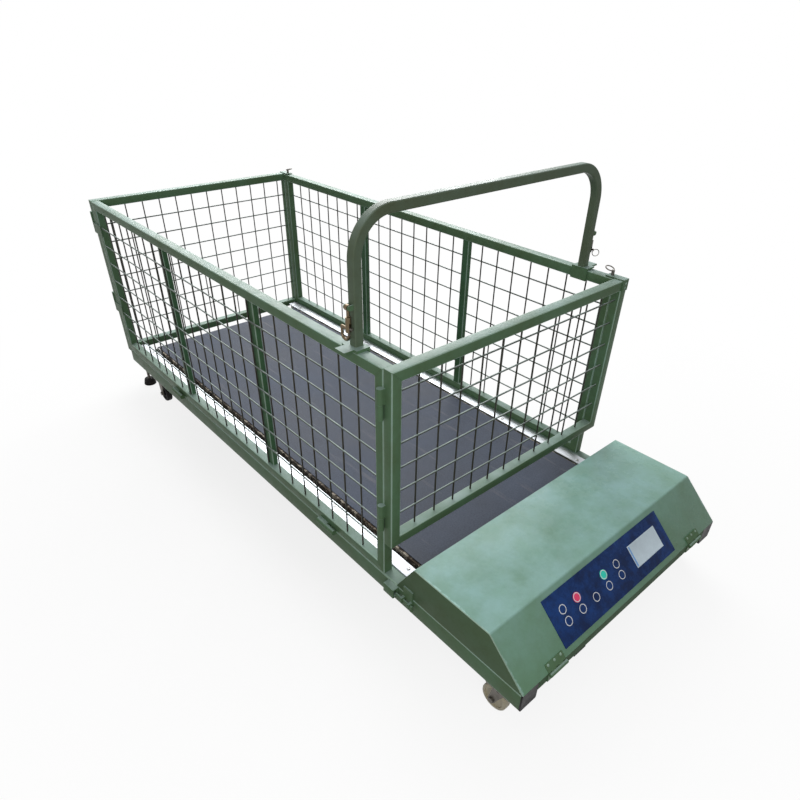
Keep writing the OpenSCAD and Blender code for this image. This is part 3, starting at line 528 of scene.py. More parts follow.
def moulded_grain():
    """Moulded plastic or rubber: a fine pebble, deeper patches and pale dust."""
    group, wiring, entry, leave = skin_group("Moulded grain", ("Color", "Dust"), MOULD_SKIN)
    place = wiring.add("ShaderNodeTexCoord").outputs["Object"]
    cloud = wiring.noise(place, 42.0, 6.0, 0.68)
    broad = wiring.noise(place, 11.0, 3.0, 0.5)
    deep = wiring.tint(entry["Color"], (0.3, 0.3, 0.34))
    pale = wiring.tint(entry["Color"], (1.1, 1.1, 1.1))
    mixed = wiring.times(wiring.span(wiring.plus(cloud, broad), 1.2, 0.8), entry["Patch"])
    body = wiring.blend(mixed, pale, deep)
    specks = wiring.span(wiring.noise(place, 160.0, 7.0, 0.72), 0.5, 0.72)
    dust = wiring.times(specks, entry["Dusty"])
    wiring.put(wiring.blend(dust, body, entry["Dust"]), leave["Color"])
    rough = wiring.plus(entry["Gloss"], wiring.span(cloud, 0.3, 0.7, -0.06, 0.1))
    wiring.put(wiring.plus(rough, wiring.times(dust, 0.3)), leave["Roughness"])
    wiring.put(wiring.noise(place, entry["Grain"], 2.0, 0.5), leave["Height"])
    return group


def new_finish(name, specular, bump, deep, metallic=0.0):
    """A material, its wiring, and the sockets that wait for its colour, roughness and height."""
    material = bpy.data.materials.new(name)
    material.use_nodes = True
    wiring = Wiring(material.node_tree)
    shader = material.node_tree.nodes["Principled BSDF"]
    relief = wiring.add("ShaderNodeBump")
    normal = wiring.fill(relief, "Normal", Strength=bump, Distance=deep)
    wiring.fill(shader, "BSDF", Specular_IOR_Level=specular, Metallic=metallic, Normal=normal)
    skin = {"Color": shader.inputs["Base Color"], "Roughness": shader.inputs["Roughness"],
            "Height": relief.inputs["Height"]}
    return material, wiring, skin


def coated(name, group, values, **shader):
    """A material that takes its colour, roughness and height from a group."""
    material, wiring, skin = new_finish(name, **shader)
    node = wiring.add("ShaderNodeGroup", node_tree=group)
    for title, value in values.items():
        wiring.put(value, node.inputs[title])
    for title, socket in skin.items():
        wiring.put(node.outputs[title], socket)
    return material


def belt_face(shades):
    """Running belt: a close diamond weave, cloudy wear and pale lint along it."""
    material, wiring, skin = new_finish("belt_face", specular=0.22, bump=0.35, deep=0.0006)
    place = wiring.add("ShaderNodeTexCoord").outputs["Object"]
    weave = wiring.add("ShaderNodeTexVoronoi", feature="F1", distance="MANHATTAN")
    pits = wiring.fill(weave, "Distance", Vector=place, Scale=330.0, Randomness=0.35)
    cloud = wiring.noise(place, 5.0, 5.0, 0.62)
    speck = wiring.noise(place, 240.0, 4.0, 0.7)
    scuff = wiring.noise(wiring.stretch(place, (34.0, 3.0, 34.0)), 1.0, 6.0, 0.72)
    body = wiring.blend(wiring.span(cloud, 0.3, 0.7), scaled(shades.belt, 0.72), scaled(shades.belt, 1.35))
    grain = wiring.blend(wiring.span(speck, 0.35, 0.7), (0.8, 0.8, 0.8), (1.2, 1.2, 1.2))
    lint = wiring.times(wiring.span(scuff, 0.58, 0.72), 0.4)
    wiring.put(wiring.blend(lint, wiring.tint(body, grain), tuple(shades.belt_lint)), skin["Color"])
    wiring.put(wiring.span(cloud, 0.3, 0.7, 0.55, 0.72), skin["Roughness"])
    wiring.put(wiring.plus(pits, wiring.times(speck, 0.4)), skin["Height"])
    return material


def deck_grain(shades):
    """Deck board: long dark wood grain with pale lint caught along it."""
    material, wiring, skin = new_finish("deck_grain", specular=0.15, bump=0.4, deep=0.0008)
    place = wiring.add("ShaderNodeTexCoord").outputs["Object"]
    rings = wiring.noise(wiring.stretch(place, (90.0, 12.0, 90.0)), 1.0, 8.0, 0.7)
    tufts = wiring.noise(place, 46.0, 7.0, 0.72)
    board = wiring.blend(wiring.span(rings, 0.42, 0.68), scaled(shades.wood, 0.16), tuple(shades.wood))
    lint = wiring.span(tufts, 0.5, 0.57, 0.0, 0.85)
    wiring.put(wiring.blend(lint, board, tuple(shades.wood_lint)), skin["Color"])
    wiring.put(wiring.span(rings, 0.3, 0.7, 0.55, 0.8), skin["Roughness"])
    wiring.put(wiring.plus(rings, tufts), skin["Height"])
    return material


def make_finishes(shades):
    """Every finish of the treadmill by name."""
    film = paint_film()
    grain = brushed_grain()
    pebble = moulded_grain()
    rim_width = 0.0075
    hood_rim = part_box("hood_shell")[1].x - rim_width

    # Each enamel takes a pale colour on faces that look up: dust with a painted sheen and painted top
    # light.
    def enamel(name, shade, bump=0.12, specular=0.06, dust_and_sheen=shades.dust_and_sheen, **skin):
        colours = {"Color": tuple(shade), "Thin": tuple(shades.primer), "Dust": tuple(dust_and_sheen)}
        values = {**colours, **PAINT_SKIN, **skin}
        return coated(name, film, values, specular=specular, bump=bump, deep=0.0005)

    def plated(name, shade, **skin):
        values = {"Color": tuple(shade), **METAL_SKIN, **skin}
        return coated(name, grain, values, specular=0.5, bump=0.08, deep=0.0002, metallic=1.0)

    def moulded(name, shade, bump=0.05, specular=0.4, **skin):
        colours = {"Color": tuple(shade), "Dust": tuple(shades.dust)}
        values = {**colours, **MOULD_SKIN, **skin}
        return coated(name, pebble, values, specular=specular, bump=bump, deep=0.0003)

    return {
        "paint": enamel("paint_green", shades.paint, Level=0.75),
        # Posts: a darker copy of the cage paint, painted shade.
        "post": enamel("paint_post", shades.post, Dusty=0.6, Level=0.75),
        "bar": enamel("paint_bar", shades.bar, Dusty=0.42),
        # Paler paint on rounded edges: rubbed wear with a painted highlight.
        "edge": enamel("paint_rubbed", shades.edge, specular=0.15, Mottle=0.7, Wear=1.0, Dusty=0.1,
                       Gloss=0.3),
        # Hood: a strong pale bluish film on its top, mostly painted sheen and painted top light.
        "hood": enamel("paint_hood", shades.hood, bump=0.08, specular=0.1, dust_and_sheen=shades.hood_dust_and_sheen,
                       Mottle=0.8, Wear=0.4, Dusty=0.74, Level=0.44, Gloss=0.26, Rim=hood_rim),
        # Hood sides: a darker copy of the hood paint, painted shade.
        "hood_side": enamel("paint_hood_side", shades.hood_side, bump=0.1, specular=0.02, Mottle=0.7,
                            Wear=0.5, Dusty=0.3),
        # Cross members and motor tray: the cage paint made darker, painted shade under the hood and belt.
        "dull": enamel("paint_underside", scaled(shades.paint, 0.7), specular=0.02, Mottle=0.6, Wear=0.6,
                       Dusty=0.2, Gloss=0.5),
        # Wire: a pale upper side, dust with a painted highlight.
        "wire": enamel("wire_dipped", shades.wire, bump=0.2, specular=0.2, dust_and_sheen=shades.wire_dust_and_highlight,
                       Mottle=0.8, Wear=0.5, Dusty=0.85, Level=0.1, Gloss=0.38),
        "motor": enamel("motor_enamel", shades.motor, specular=0.1, dust_and_sheen=shades.motor_haze, Mottle=0.4,
                        Wear=0.3, Dusty=0.1, Gloss=0.42),
        "strip": plated("strip_bright", shades.strip, Lines=(700.0, 9.0, 700.0), Stain=0.3, Gloss=0.44),
        "zinc": plated("zinc_plate", shades.zinc),
        "steel": plated("steel_dark", shades.steel, Stain=0.7, Gloss=0.4),
        "brass": plated("brass_cast", shades.brass, Lines=(160.0, 160.0, 120.0), Stain=0.6, Gloss=0.32),
        "iron": moulded("bearing_cast", shades.iron, bump=0.5, Dusty=0.3, Grain=420.0, Gloss=0.55),
        "black": moulded("black_moulding", shades.black, bump=0.2, specular=0.1, Dusty=0.1, Grain=900.0,
                         Gloss=0.42),
        "rubber": moulded("black_tyre", scaled(shades.black, 0.8), bump=0.3, specular=0.15, Dusty=0.3,
                          Grain=700.0, Gloss=0.62),
        # Front wheels: the darker cream is partly painted shade.
        "cream": moulded("cream_tyre", shades.cream, bump=0.15, Dusty=0.35, Grain=700.0, Gloss=0.4),
        "belt": belt_face(shades),
        "deck": deck_grain(shades),
        # Panel film: strong dark patches, a painted reflection of darker surroundings on the glossy film.
        "film": moulded("panel_film", shades.panel, specular=0.1, Dusty=0.02, Patch=0.85, Gloss=0.24),
        "key_red": moulded("key_film_red", shades.key_red),
        "key_green": moulded("key_film_green", shades.key_green),
        "print": moulded("print_white", shades.print_white, Dusty=0.02, Grain=1600.0, Gloss=0.35),
        "screen": moulded("screen_pane", shades.screen, bump=0.04, specular=0.2, Grain=1200.0),
        "backlight": moulded("screen_edge", shades.backlight, bump=0.04, Dusty=0.02, Grain=1200.0),
    }


FINISH = {}

SLOT_FINISH = {
    "paint": "paint", "black_plastic": "black", "deck_wood": "deck", "belt_rubber": "belt",
    "bright_strip": "strip", "zinc": "zinc", "bearing_iron": "iron", "motor_paint": "motor",
    "black_rubber": "rubber", "cream_plastic": "cream", "brass": "brass", "panel_blue": "film",
    "window_grey": "screen", "key_red": "key_red", "key_green": "key_green",
}

NODE_FINISH = {
    "left_panel_mesh": "wire", "right_panel_mesh": "wire", "front_gate_mesh": "wire",
    "rear_gate_mesh": "wire", "front_gate_pin": "steel", "rear_gate_pin": "steel", "right_snap": "steel",
    "right_snap_bolt": "steel", "left_snap_bolt": "steel", "left_fork": "steel", "right_fork": "steel",
    # Cross members and motor tray take the darkened paint: painted shade.
    "caster_mounts": "steel", "cross_members": "dull", "motor_tray": "dull", "tether_bar": "bar",
}


class TREADMILL_OT_finishes(bpy.types.Operator):
    """Makes the finishes and puts one on every node of the frame"""
    bl_idname = "treadmill.finishes"
    bl_label = "Finishes"

    def execute(self, context):
        FINISH.update(make_finishes(context.scene.treadmill_colours))
        for part in frame["record"]["subparts"]:
            node = frame["nodes"][part["node"]]
            finish = NODE_FINISH.get(part["node"], SLOT_FINISH[part["material_slot"]])
            node.data.materials.clear()
            dress(node, finish)
        return {"FINISHED"}


def round_long_edges(piece, axis, radius, segments=3, slot=-1):
    """Rounds the edges of a tube that run along an axis, with the finish of a slot on them."""
    edit(piece)
    pick(piece, "edges", lambda edge: runs_along(edge, axis))
    bevel(radius, segments, slot)
    close_edit()


def mitred_tube(name, low, high, axis, inward, inner, size, radius):
    """A square tube cut at 45 degrees at both ends, its short side at inner on the inward axis."""
    cut_edge = 0.0005
    piece = block(name, low, high)
    dress(piece, "paint", "edge")
    half = (low[axis] + high[axis]) / 2
    edit(piece)
    for sign in (1, -1):
        step = Vector()
        step[axis] = sign * size
        pick(piece, "verts", lambda vert: abs(vert.co[inward] - inner) < TOUCH
             and (half - vert.co[axis]) * sign > 0)
        move(step)
    # The rounded long edges take the paler edge paint: rubbed wear with a painted highlight.
    round_long_edges(piece, axis, radius, slot=1)
    edit(piece)
    pick(piece, "edges", lambda edge: any(abs(face.normal[axis]) > LEANING for face in edge.link_faces))
    bevel(cut_edge, 1)
    close_edit()
    return piece


def tube_ring(name, low, high, level, size, radius):
    """Four mitred tubes round a panel that stands in the plane of a level axis and Z."""
    tubes = []
    for kind, axis, inward in (("rail", level, 2), ("stile", 2, level)):
        for end in (0, 1):
            corners = [list(low), list(high)]
            inner = high[inward] - size if end else low[inward] + size
            corners[1 - end][inward] = inner
            title = f"{name}_{kind}_{end}"
            tubes.append(mitred_tube(title, *corners, axis, inward, inner, size, radius))
    return tubes


class TREADMILL_OT_side_panels(bpy.types.Operator):
    """Models the two side panels of the cage from mitred tube with two posts each"""
    bl_idname = "treadmill.side_panels"
    bl_label = "Side panels"

    def execute(self, context):
        sizes = context.scene.treadmill_sizes
        for side in ("left", "right"):
            node = f"{side}_panel_frame"
            low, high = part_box(node)
            tubes = tube_ring(f"{side}_panel", low, high, 1, sizes.cage_tube, sizes.tube_round)
            tubes += self.posts(side, low, high, sizes)
            panel = join(f"{side}_panel_tubes", tubes)
            if side == "right":
                self.pin_bores(panel, low, high, sizes.cage_tube)
            hand_over(panel, f"{side}_panel", "paint", node)
        return {"FINISHED"}

    def posts(self, side, low, high, sizes):
        """Two posts that stand flush with the panel's inner face."""
        lap = 0.001
        posts = []
        for count in (1, 2):
            mid = low.y + count * (high.y - low.y) / 3
            foot = Vector((low.x, mid - sizes.cage_tube / 2, low.z + sizes.cage_tube - lap))
            head = Vector((high.x, mid + sizes.cage_tube / 2, high.z - sizes.cage_tube + lap))
            if side == "left":
                foot.x = high.x - sizes.post_depth
            else:
                head.x = low.x + sizes.post_depth
            post = block(f"{side}_post_{count}", foot, head)
            # The posts take the darker post paint: painted shade.
            dress(post, "post", "edge")
            # The rounded long edges take the paler edge paint: rubbed wear with a painted highlight.
            round_long_edges(post, 2, sizes.tube_round, slot=1)
            posts.append(post)
        return posts

    def pin_bores(self, panel, low, high, size):
        """Bores the top corners of the right panel for the gates' ring pins."""
        radius = 0.0046
        deep = 0.018
        drills = []
        for y in (low.y + size / 2, high.y - size / 2):
            drill = disc(f"drill_{len(drills)}", radius, 2 * deep, sides=32)
            drill.location = (high.x - size / 2, y, high.z)
            drills.append(settle(drill))
        drill = join("drills", drills)
        cut = {"operation": "DIFFERENCE", "solver": "EXACT", "use_self": True}
        apply_modifier(panel, "BOOLEAN", object=drill, **cut)
        bpy.data.objects.remove(drill)


class TREADMILL_OT_gates(bpy.types.Operator):
    """Models the front and the rear gate of the cage from mitred tube"""
    bl_idname = "treadmill.gates"
    bl_label = "Gates"

    def execute(self, context):
        sizes = context.scene.treadmill_sizes
        for end in ("front", "rear"):
            node = f"{end}_gate_frame"
            low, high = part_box(node)
            tubes = tube_ring(f"{end}_gate", low, high, 0, sizes.cage_tube, sizes.tube_round)
            hand_over(join(f"{end}_gate_tubes", tubes), f"{end}_gate", "paint", node)
        return {"FINISHED"}


class TREADMILL_OT_base(bpy.types.Operator):
    """Models the base rails with rounded corners, the bolt's keeper and the rail caps"""
    bl_idname = "treadmill.base"
    bl_label = "Base rails and caps"

    def execute(self, context):
        sizes = context.scene.treadmill_sizes
        low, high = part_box("rail_caps")
        flange = sizes.cap_flange
        rails = []
        caps = []
        for side, left in (("left", low.x), ("right", high.x - sizes.rail_width)):
            right = left + sizes.rail_width
            rail = block(f"{side}_rail", (left, low.y + flange, low.z), (right, high.y - flange, high.z))
            dress(rail, "paint", "edge")
            # The rounded long edges take the paler edge paint: rubbed wear with a painted highlight.
            round_long_edges(rail, 1, sizes.rail_round, segments=4, slot=1)
            rails.append(rail)
            for end, outer, y in (("front", -1, low.y), ("rear", 1, high.y - flange)):
                cap = block(f"{side}_{end}_cap", (left, y, low.z), (right, y + flange, high.z))
                self.shape_cap(cap, outer, sizes.rail_round)
                caps.append(cap)
        rails.append(self.keeper())
        hand_over(join("base_rail_tubes", rails), "base", "paint", "base_rails")
        plugs = dress(join("rail_end_caps", caps), "black")
        hand_over(plugs, "base", "black_plastic", "rail_caps")
        return {"FINISHED"}

    def shape_cap(self, cap, outer, corner):
        """Sinks the outer face of a rail's cap a little and rounds the cap."""
        margin = 0.006
        sink = 0.0008
        edge = 0.0006
        edit(cap)
        pick(cap, "faces", lambda face: face.normal.y * outer > FACING)
        bpy.ops.mesh.inset(thickness=margin)
        move((0, -outer * sink, 0))
        close_edit()
        round_long_edges(cap, 1, corner, segments=4)
        soften(cap, edge)

    def keeper(self):
        """A short open tube on the left rail that takes the hood's bolt."""
        bolt_radius = 0.003
        clearance = 0.0015
        long = 0.034
        deep = 0.031
        half = 0.013
        wall = 0.0028
        weld = 0.0005
        edge = 0.0008
        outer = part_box("base_rails")[0].x
        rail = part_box("rail_caps")[0].x
        bolt_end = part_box("hood_bolt")[1]
        front = bolt_end.y + clearance
        mid = bolt_end.z - bolt_radius
        keeper = block("bolt_keeper", (outer, front, mid - half), (rail + weld, front + long, mid + half))
        dress(keeper, "paint", "edge")
        edit(keeper)
        pick(keeper, "faces", lambda face: face.normal.y < -FACING)
        bpy.ops.mesh.inset(thickness=wall)
        extrude((0, deep, 0))
        close_edit()
        soften(keeper, edge)
        return keeper


def hood_slope(sizes):
    """Angle of the hood's front slope."""
    low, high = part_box("hood_shell")
    return math.atan2(high.z - low.z, sizes.ridge_in)


class TREADMILL_OT_hood(bpy.types.Operator):
    """Models the hood as one bent sheet with rounded bends and open at its foot and rear"""
    bl_idname = "treadmill.hood"
    bl_label = "Hood"

    def execute(self, context):
        sizes = context.scene.treadmill_sizes
        cut_edge = 0.0005
        bend_angle = 0.9
        low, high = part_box("hood_shell")
        ridge = low.y + sizes.ridge_in
        hood = block("hood_sheet", low, high)
        dress(hood, "hood", "edge", "hood_side")
        edit(hood)
        pick(hood, "verts", lambda vert: vert.co.z > high.z - TOUCH and vert.co.y < low.y + TOUCH)
        move((0, sizes.ridge_in, 0))
        pick(hood, "verts", lambda vert: vert.co.z > high.z - TOUCH and vert.co.y > high.y - TOUCH)
        move((0, -sizes.ear, 0))
        pick(hood, "faces", lambda face: face.normal.z < -FACING or face.normal.y > LEANING)
        bpy.ops.mesh.delete(type="ONLY_FACE")
        pick(hood, "edges", lambda edge: runs_along(edge, 0) and abs(middle(edge).y - ridge) < TOUCH)
        bevel(sizes.ridge_bend * math.tan(hood_slope(sizes) / 2), 6)
        pick(hood, "edges", lambda edge: sorted(map(looks_aside, edge.link_faces)) == [False, True])
        # The bends to the sides take the paler edge paint: rubbed wear with a painted highlight.
        bevel(sizes.side_bend, 3, slot=1)
        # The upright sides take the darker copy of the hood paint: painted shade.
        finish_faces(hood, 2, looks_aside)
        bpy.ops.mesh.select_all(action="SELECT")
        bpy.ops.mesh.normals_make_consistent(inside=False)
        close_edit()
        apply_modifier(hood, "SOLIDIFY", thickness=sizes.sheet, offset=-1.0)
        soften(hood, cut_edge, bend_angle)
        hand_over(hood, "hood", "paint", "hood_shell")
        return {"FINISHED"}


def slotted_screw(name, radius, height):
    """A round-headed screw with a slot, standing on the origin."""
    dome = height * 0.6
    rim = radius * 0.12
    slot = radius * 0.14
    slot_depth = height * 0.45
    screw = disc(name, radius, height, sides=24)

    def crown(face):
        return face.normal.z > FLAT and middle(face).xy.length < slot / 2

    edit(screw)
    pick(screw, "faces", looks_up)
    bevel(dome, 3)
    pick(screw, "faces", lambda face: face.normal.z > FLAT)
    bpy.ops.mesh.inset(thickness=rim)
    pick(screw, "faces", crown)
    bpy.ops.mesh.bisect(plane_co=(0, slot, 0), plane_no=(0, 1, 0))
    pick(screw, "faces", lambda face: face.normal.z > FLAT and len(face.verts) > 4)
    bpy.ops.mesh.bisect(plane_co=(0, -slot, 0), plane_no=(0, 1, 0))
    pick(screw, "faces", crown)
    extrude((0, 0, -slot_depth))
    close_edit()
    screw.location.z = height / 2
    return settle(screw)


def domed_head(name, radius, height):
    """A round rivet or screw head with a washer, standing on the origin."""
    washer = radius * 1.35
    outline = [(0.0, 0.0), (0.0, washer), (height * 0.3, washer), (height * 0.34, radius),
               (height * 0.7, radius * 0.92), (height * 0.92, radius * 0.6), (height, 0.0)]
    return lathe(name, outline, ORIGIN, UP, ACROSS, steps=20)


def wire_ring(name, centre, axis, radius, wire):
    """A closed ring of round wire about an axis, thicker where its ends meet."""
    weld_reach = radius * 0.2
    weld_swell = 1.25
    add = bpy.ops.mesh.primitive_torus_add
    ring = primitive(name, add, major_radius=radius, minor_radius=wire, major_segments=40,
                     minor_segments=10)
    edit(ring)
    pick(ring, "verts", lambda vert: vert.co.x > radius * 0.9 and abs(vert.co.y) < weld_reach)
    bpy.ops.transform.resize(value=(1.0, 1.0, weld_swell))
    close_edit()
    ring.rotation_euler = axis.to_track_quat("Z", "Y").to_euler()
    ring.location = centre
    return ring


class TREADMILL_OT_fasteners(bpy.types.Operator):
    """Models the screws of the hood's hinges, the rivets of the gates' latches and the ring on a snap"""
    bl_idname = "treadmill.fasteners"
    bl_label = "Screws, rivets and ring"

    def execute(self, context):
        self.hinge_screws(hood_slope(context.scene.treadmill_sizes))
        self.latch_rivets()
        self.snap_ring()
        return {"FINISHED"}

    def hinge_screws(self, slope):
        """Three screws along the upper edge of each leaf on the hood's slope."""
        hinge = 0.275
        spacing = 0.02
        up_slope = 0.0138
        leaf = 0.0019
        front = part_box("hood_shell")[0]
        upward = Vector((0, math.cos(slope), math.sin(slope)))
        outward = Vector((0, -math.sin(slope), math.cos(slope)))
        first = domed_head("hinge_screw", radius=0.0023, height=0.0021)
        heads = []
        for centre in (-hinge, hinge):
            for step in (-spacing, 0.0, spacing):
                place = Vector((centre + step, front.y, front.z)) + upward * up_slope + outward * leaf
                heads.append(copy_of(first, f"hinge_screw_{len(heads)}", place, Euler((slope, 0, 0))))
        bpy.data.objects.remove(first)
        # The screw heads take the paler edge paint: rubbed wear with a painted highlight.
        hand_over(dress(join("hinge_screw_heads", heads), "edge"), "hood", "paint")

    def latch_rivets(self):
        """Two rivets on the folded face of each gate's latch plate."""
        plate = 0.0023
        inset = 0.0125
        drops = (0.0075, 0.0185)
        first = domed_head("latch_rivet", radius=0.0026, height=0.0018)
        for end, outer in (("front", -1), ("rear", 1)):
            low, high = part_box(f"{end}_gate_frame")
            turn = Euler((-outer * math.pi / 2, 0, 0))
            face = low.y - plate if end == "front" else high.y + plate
            heads = []
            for drop in drops:
                place = (high.x - inset, face, high.z - drop)
                heads.append(copy_of(first, f"{end}_rivet_{len(heads)}", place, turn))
            # The rivet heads take the paler edge paint: rubbed wear with a painted highlight.
            rivets = dress(join(f"{end}_latch_rivets", heads), "edge")
            hand_over(rivets, f"{end}_gate", "paint")
        bpy.data.objects.remove(first)

    def snap_ring(self):
        """A ring that hangs from the thumb knob of the right snap's bolt."""
        radius = 0.0084
        wire = 0.0009
        reach = 0.0082
        knob_in = 0.0012
        knob_up = 0.0085
        low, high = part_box("right_snap_bolt")
        knob = Vector(((low.x + high.x) / 2, low.y + knob_in, low.z + knob_up))
        side = Vector((0.74, -0.67, 0))
        axis = Vector((0.67, 0.74, 0))
        ring = wire_ring("snap_ring", knob + side * reach, axis, radius, wire)
        hand_over(dress(ring, "steel"), "right_snap_bolt", "zinc")


class TREADMILL_OT_strips(bpy.types.Operator):
    """Models the two bright side strips and their screws"""
    bl_idname = "treadmill.strips"
    bl_label = "Side strips"

    def execute(self, context):
        self.strips(context.scene.treadmill_sizes.strip_width)
        self.screws()
        return {"FINISHED"}

    def strips(self, width):
        """Two flat strips with rounded upper edges."""
        edge = 0.0012
        low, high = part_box("side_strips")
        strips = []
        for side, x in (("left", low.x), ("right", high.x - width)):
            strip = block(f"{side}_strip", (x, low.y, low.z), (x + width, high.y, high.z))
            edit(strip)
            pick(strip, "edges", lambda line: middle(line).z > high.z - TOUCH)
            bevel(edge, 3)
            close_edit()
            strips.append(strip)
        pair = dress(join("side_strip_pair", strips), "strip")
        hand_over(pair, "base", "bright_strip", "side_strips")

    def screws(self):
        """A row of slotted screws along each strip, each turned a little further than the last."""
        radius = 0.0045
        row = 6
        twist = 0.7
        low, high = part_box("strip_screws")
        pitch = (high.y - low.y - 2 * radius) / (row - 1)
        first = slotted_screw("strip_screw", radius, high.z - low.z)
        screws = []
        for x in (low.x + radius, high.x - radius):
            for count in range(row):
                place = (x, low.y + radius + count * pitch, low.z)
                turn = Euler((0, 0, twist * count + x))
                screws.append(copy_of(first, f"strip_screw_{len(screws)}", place, turn))
        bpy.data.objects.remove(first)
        heads = dress(join("strip_screw_heads", screws), "zinc")
        hand_over(heads, "base", "zinc", "strip_screws")


class TREADMILL_OT_wheels(bpy.types.Operator):
    """Models the four wheels with a crowned tyre, a web and a hub"""
    bl_idname = "treadmill.wheels"
    bl_label = "Wheels"

    def execute(self, context):
        first = self.wheel(context.scene.treadmill_sizes.wheel_radius)
        for end, finish, slot in (("front", "cream", "cream_plastic"), ("rear", "rubber", "black_rubber")):
            for side in ("left", "right"):
                node = f"{end}_{side}_wheel"
                low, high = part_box(node)
                wheel = copy_of(first, f"{node}_tyre", (low + high) / 2)
                hand_over(dress(wheel, finish), node, slot, node)
        bpy.data.objects.remove(first)
        return {"FINISHED"}

    def wheel(self, radius):
        """A wheel about the origin, spun from the outlines of its hub, web and tyre."""
        half = 0.011
        hub = [(half, 0.0043), (half, 0.0088), (half - 0.0008, 0.0099), (half - 0.0048, 0.0104)]
        web = [(half - 0.0053, 0.0116), (half - 0.0053, 0.0222), (half - 0.0046, 0.0236),
               (half - 0.0014, 0.0241), (half - 0.001, 0.0249)]
        tyre = [(half - 0.0011, radius - 0.0042), (half - 0.002, radius - 0.0018),
                (half - 0.0042, radius - 0.0004)]
        side = hub + web + tyre
        outline = [*side, (0.0, radius), *((-along, out) for along, out in reversed(side)), side[0]]
        return lathe("wheel", outline, ORIGIN, ACROSS, UP, steps=64)


class TREADMILL_OT_feet(bpy.types.Operator):
    """Models the rear feet: a ribbed rubber pad on a threaded stem with a nut"""
    bl_idname = "treadmill.feet"
    bl_label = "Rear feet"

    def execute(self, context):
        pad_radius = 0.022
        low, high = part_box("rear_feet")
        y = (low.y + high.y) / 2
        pads = []
        stems = []
        for x in (low.x + pad_radius, high.x - pad_radius):
            foot = Vector((x, y, low.z))
            count = len(pads)
            pads.append(self.pad(f"foot_pad_{count}", foot))
            stems.append(self.stem(f"foot_stem_{count}", foot, high.z - low.z))
            stems.append(self.nut(f"foot_nut_{count}", x, y, high.z))
        hand_over(dress(join("foot_pads", pads), "rubber"), "base", "black_rubber", "rear_feet")
        hand_over(dress(join("foot_stems", stems), "steel"), "base", "zinc")
        return {"FINISHED"}

    def pad(self, name, foot):
        """A rubber pad with a rounded lip, a groove and a tapered body."""
        lip = [(0.0, 0.0), (0.0, 0.0195), (0.0008, 0.0214), (0.0026, 0.022), (0.0056, 0.0214)]
        groove = [(0.0066, 0.0198), (0.0082, 0.0196), (0.0092, 0.0206)]
        body = [(0.0186, 0.0184), (0.0222, 0.0172), (0.024, 0.015), (0.024, 0.0)]
        return lathe(name, lip + groove + body, foot, UP, ACROSS, steps=48)

    def stem(self, name, foot, tall):
        """A threaded stem that starts inside the pad."""
        start = 0.0238
        pitch = 0.0015
        crest = 0.0049
        root = 0.0042
        turns = 36
        end = tall - 0.001
        outline = [(start, 0.0)]
        for turn in range(turns):
            outline.append((start + pitch * turn, crest))
            outline.append((start + pitch * (turn + 0.5), root))
        outline += [(end, crest), (end, 0.0)]
        return lathe(name, outline, foot, UP, ACROSS, steps=20)

    def nut(self, name, x, y, top):
        """A six-sided nut at the top of a stem."""
        radius = 0.009
        thick = 0.008
        edge = 0.0007
        nut = disc(name, radius, thick, sides=6)
        nut.location = (x, y, top - thick / 2)
        settle(nut)
        soften(nut, edge)
        return nut


class TREADMILL_OT_keys(bpy.types.Operator):
    """Models the nine keys as low domes, each with a printed ring"""
    bl_idname = "treadmill.keys"
    bl_label = "Keys"

    def execute(self, context):
        sizes = context.scene.treadmill_sizes
        turn = Euler((hood_slope(sizes), 0, 0))
        coloured = {2: ("key_red", "key_red"), 3: ("key_green", "key_green")}
        first = self.key(sizes.key_radius)
        for count in range(1, 10):
            node = f"key_{count}"
            low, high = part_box(node)
            finish, slot = coloured.get(count, ("film", "panel_blue"))
            key = copy_of(first, f"{node}_dome", (low + high) / 2, turn)
            hand_over(dress(key, finish, "print"), node, slot, node)
        bpy.data.objects.remove(first)
        return {"FINISHED"}

    def key(self, radius):
        """A thin round key about the origin, with a ring of faces for the print."""
        thick = 0.0016
        rim = 0.0003
        margin = 0.0005
        ring = 0.0017
        steps = ((margin, 0.0), (ring, 0.0), (0.0022, 0.0002), (0.003, 0.0001))
        outer = radius - rim - margin
        key = disc("key", radius, thick, sides=40)

        def printed(face):
            reach = max(vert.co.xy.length for vert in face.verts)
            return face.normal.z > FLAT and abs(reach - outer) < margin / 2

        edit(key)
        pick(key, "edges", lambda edge: middle(edge).z > thick / 2 - TOUCH)
        bevel(rim, 2)
        pick(key, "faces", lambda face: face.normal.z > FLAT and len(face.verts) > 4)
        for inset, rise in steps:
            bpy.ops.mesh.inset(thickness=inset)
            move((0, 0, rise))
        finish_faces(key, 1, printed)
        close_edit()
        return key


class TREADMILL_OT_display(bpy.types.Operator):
    """Models the display window with a sunk pane and a lit edge"""
    bl_idname = "treadmill.display"
    bl_label = "Display window"

    def execute(self, context):
        sizes = context.scene.treadmill_sizes
        rim = 0.0022
        sink = 0.0005
        edge = 0.00015
        thick = 0.0023
        lit_width = 0.0075
        corner = Vector((sizes.window_width, sizes.window_height, thick)) / 2
        lit = lit_width - corner.x
        low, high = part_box("display_window")
        pane = block("display_pane", -corner, corner)

        def sunk(face):
            return looks_up(face) and middle(face).z < corner.z - sink / 2

        edit(pane)
        pick(pane, "faces", looks_up)
        bpy.ops.mesh.inset(thickness=rim)
        extrude((0, 0, -sink))
        pick(pane, "faces", sunk)
        bpy.ops.mesh.bisect(plane_co=(lit, 0, 0), plane_no=(1, 0, 0))
        finish_faces(pane, 1, lambda face: sunk(face) and middle(face).x < lit)
        close_edit()
        soften(pane, edge)
        pane.rotation_euler = (hood_slope(sizes), 0, 0)
        pane.location = (low + high) / 2
        hand_over(dress(pane, "screen", "backlight"), "hood", "window_grey", "display_window")
        return {"FINISHED"}


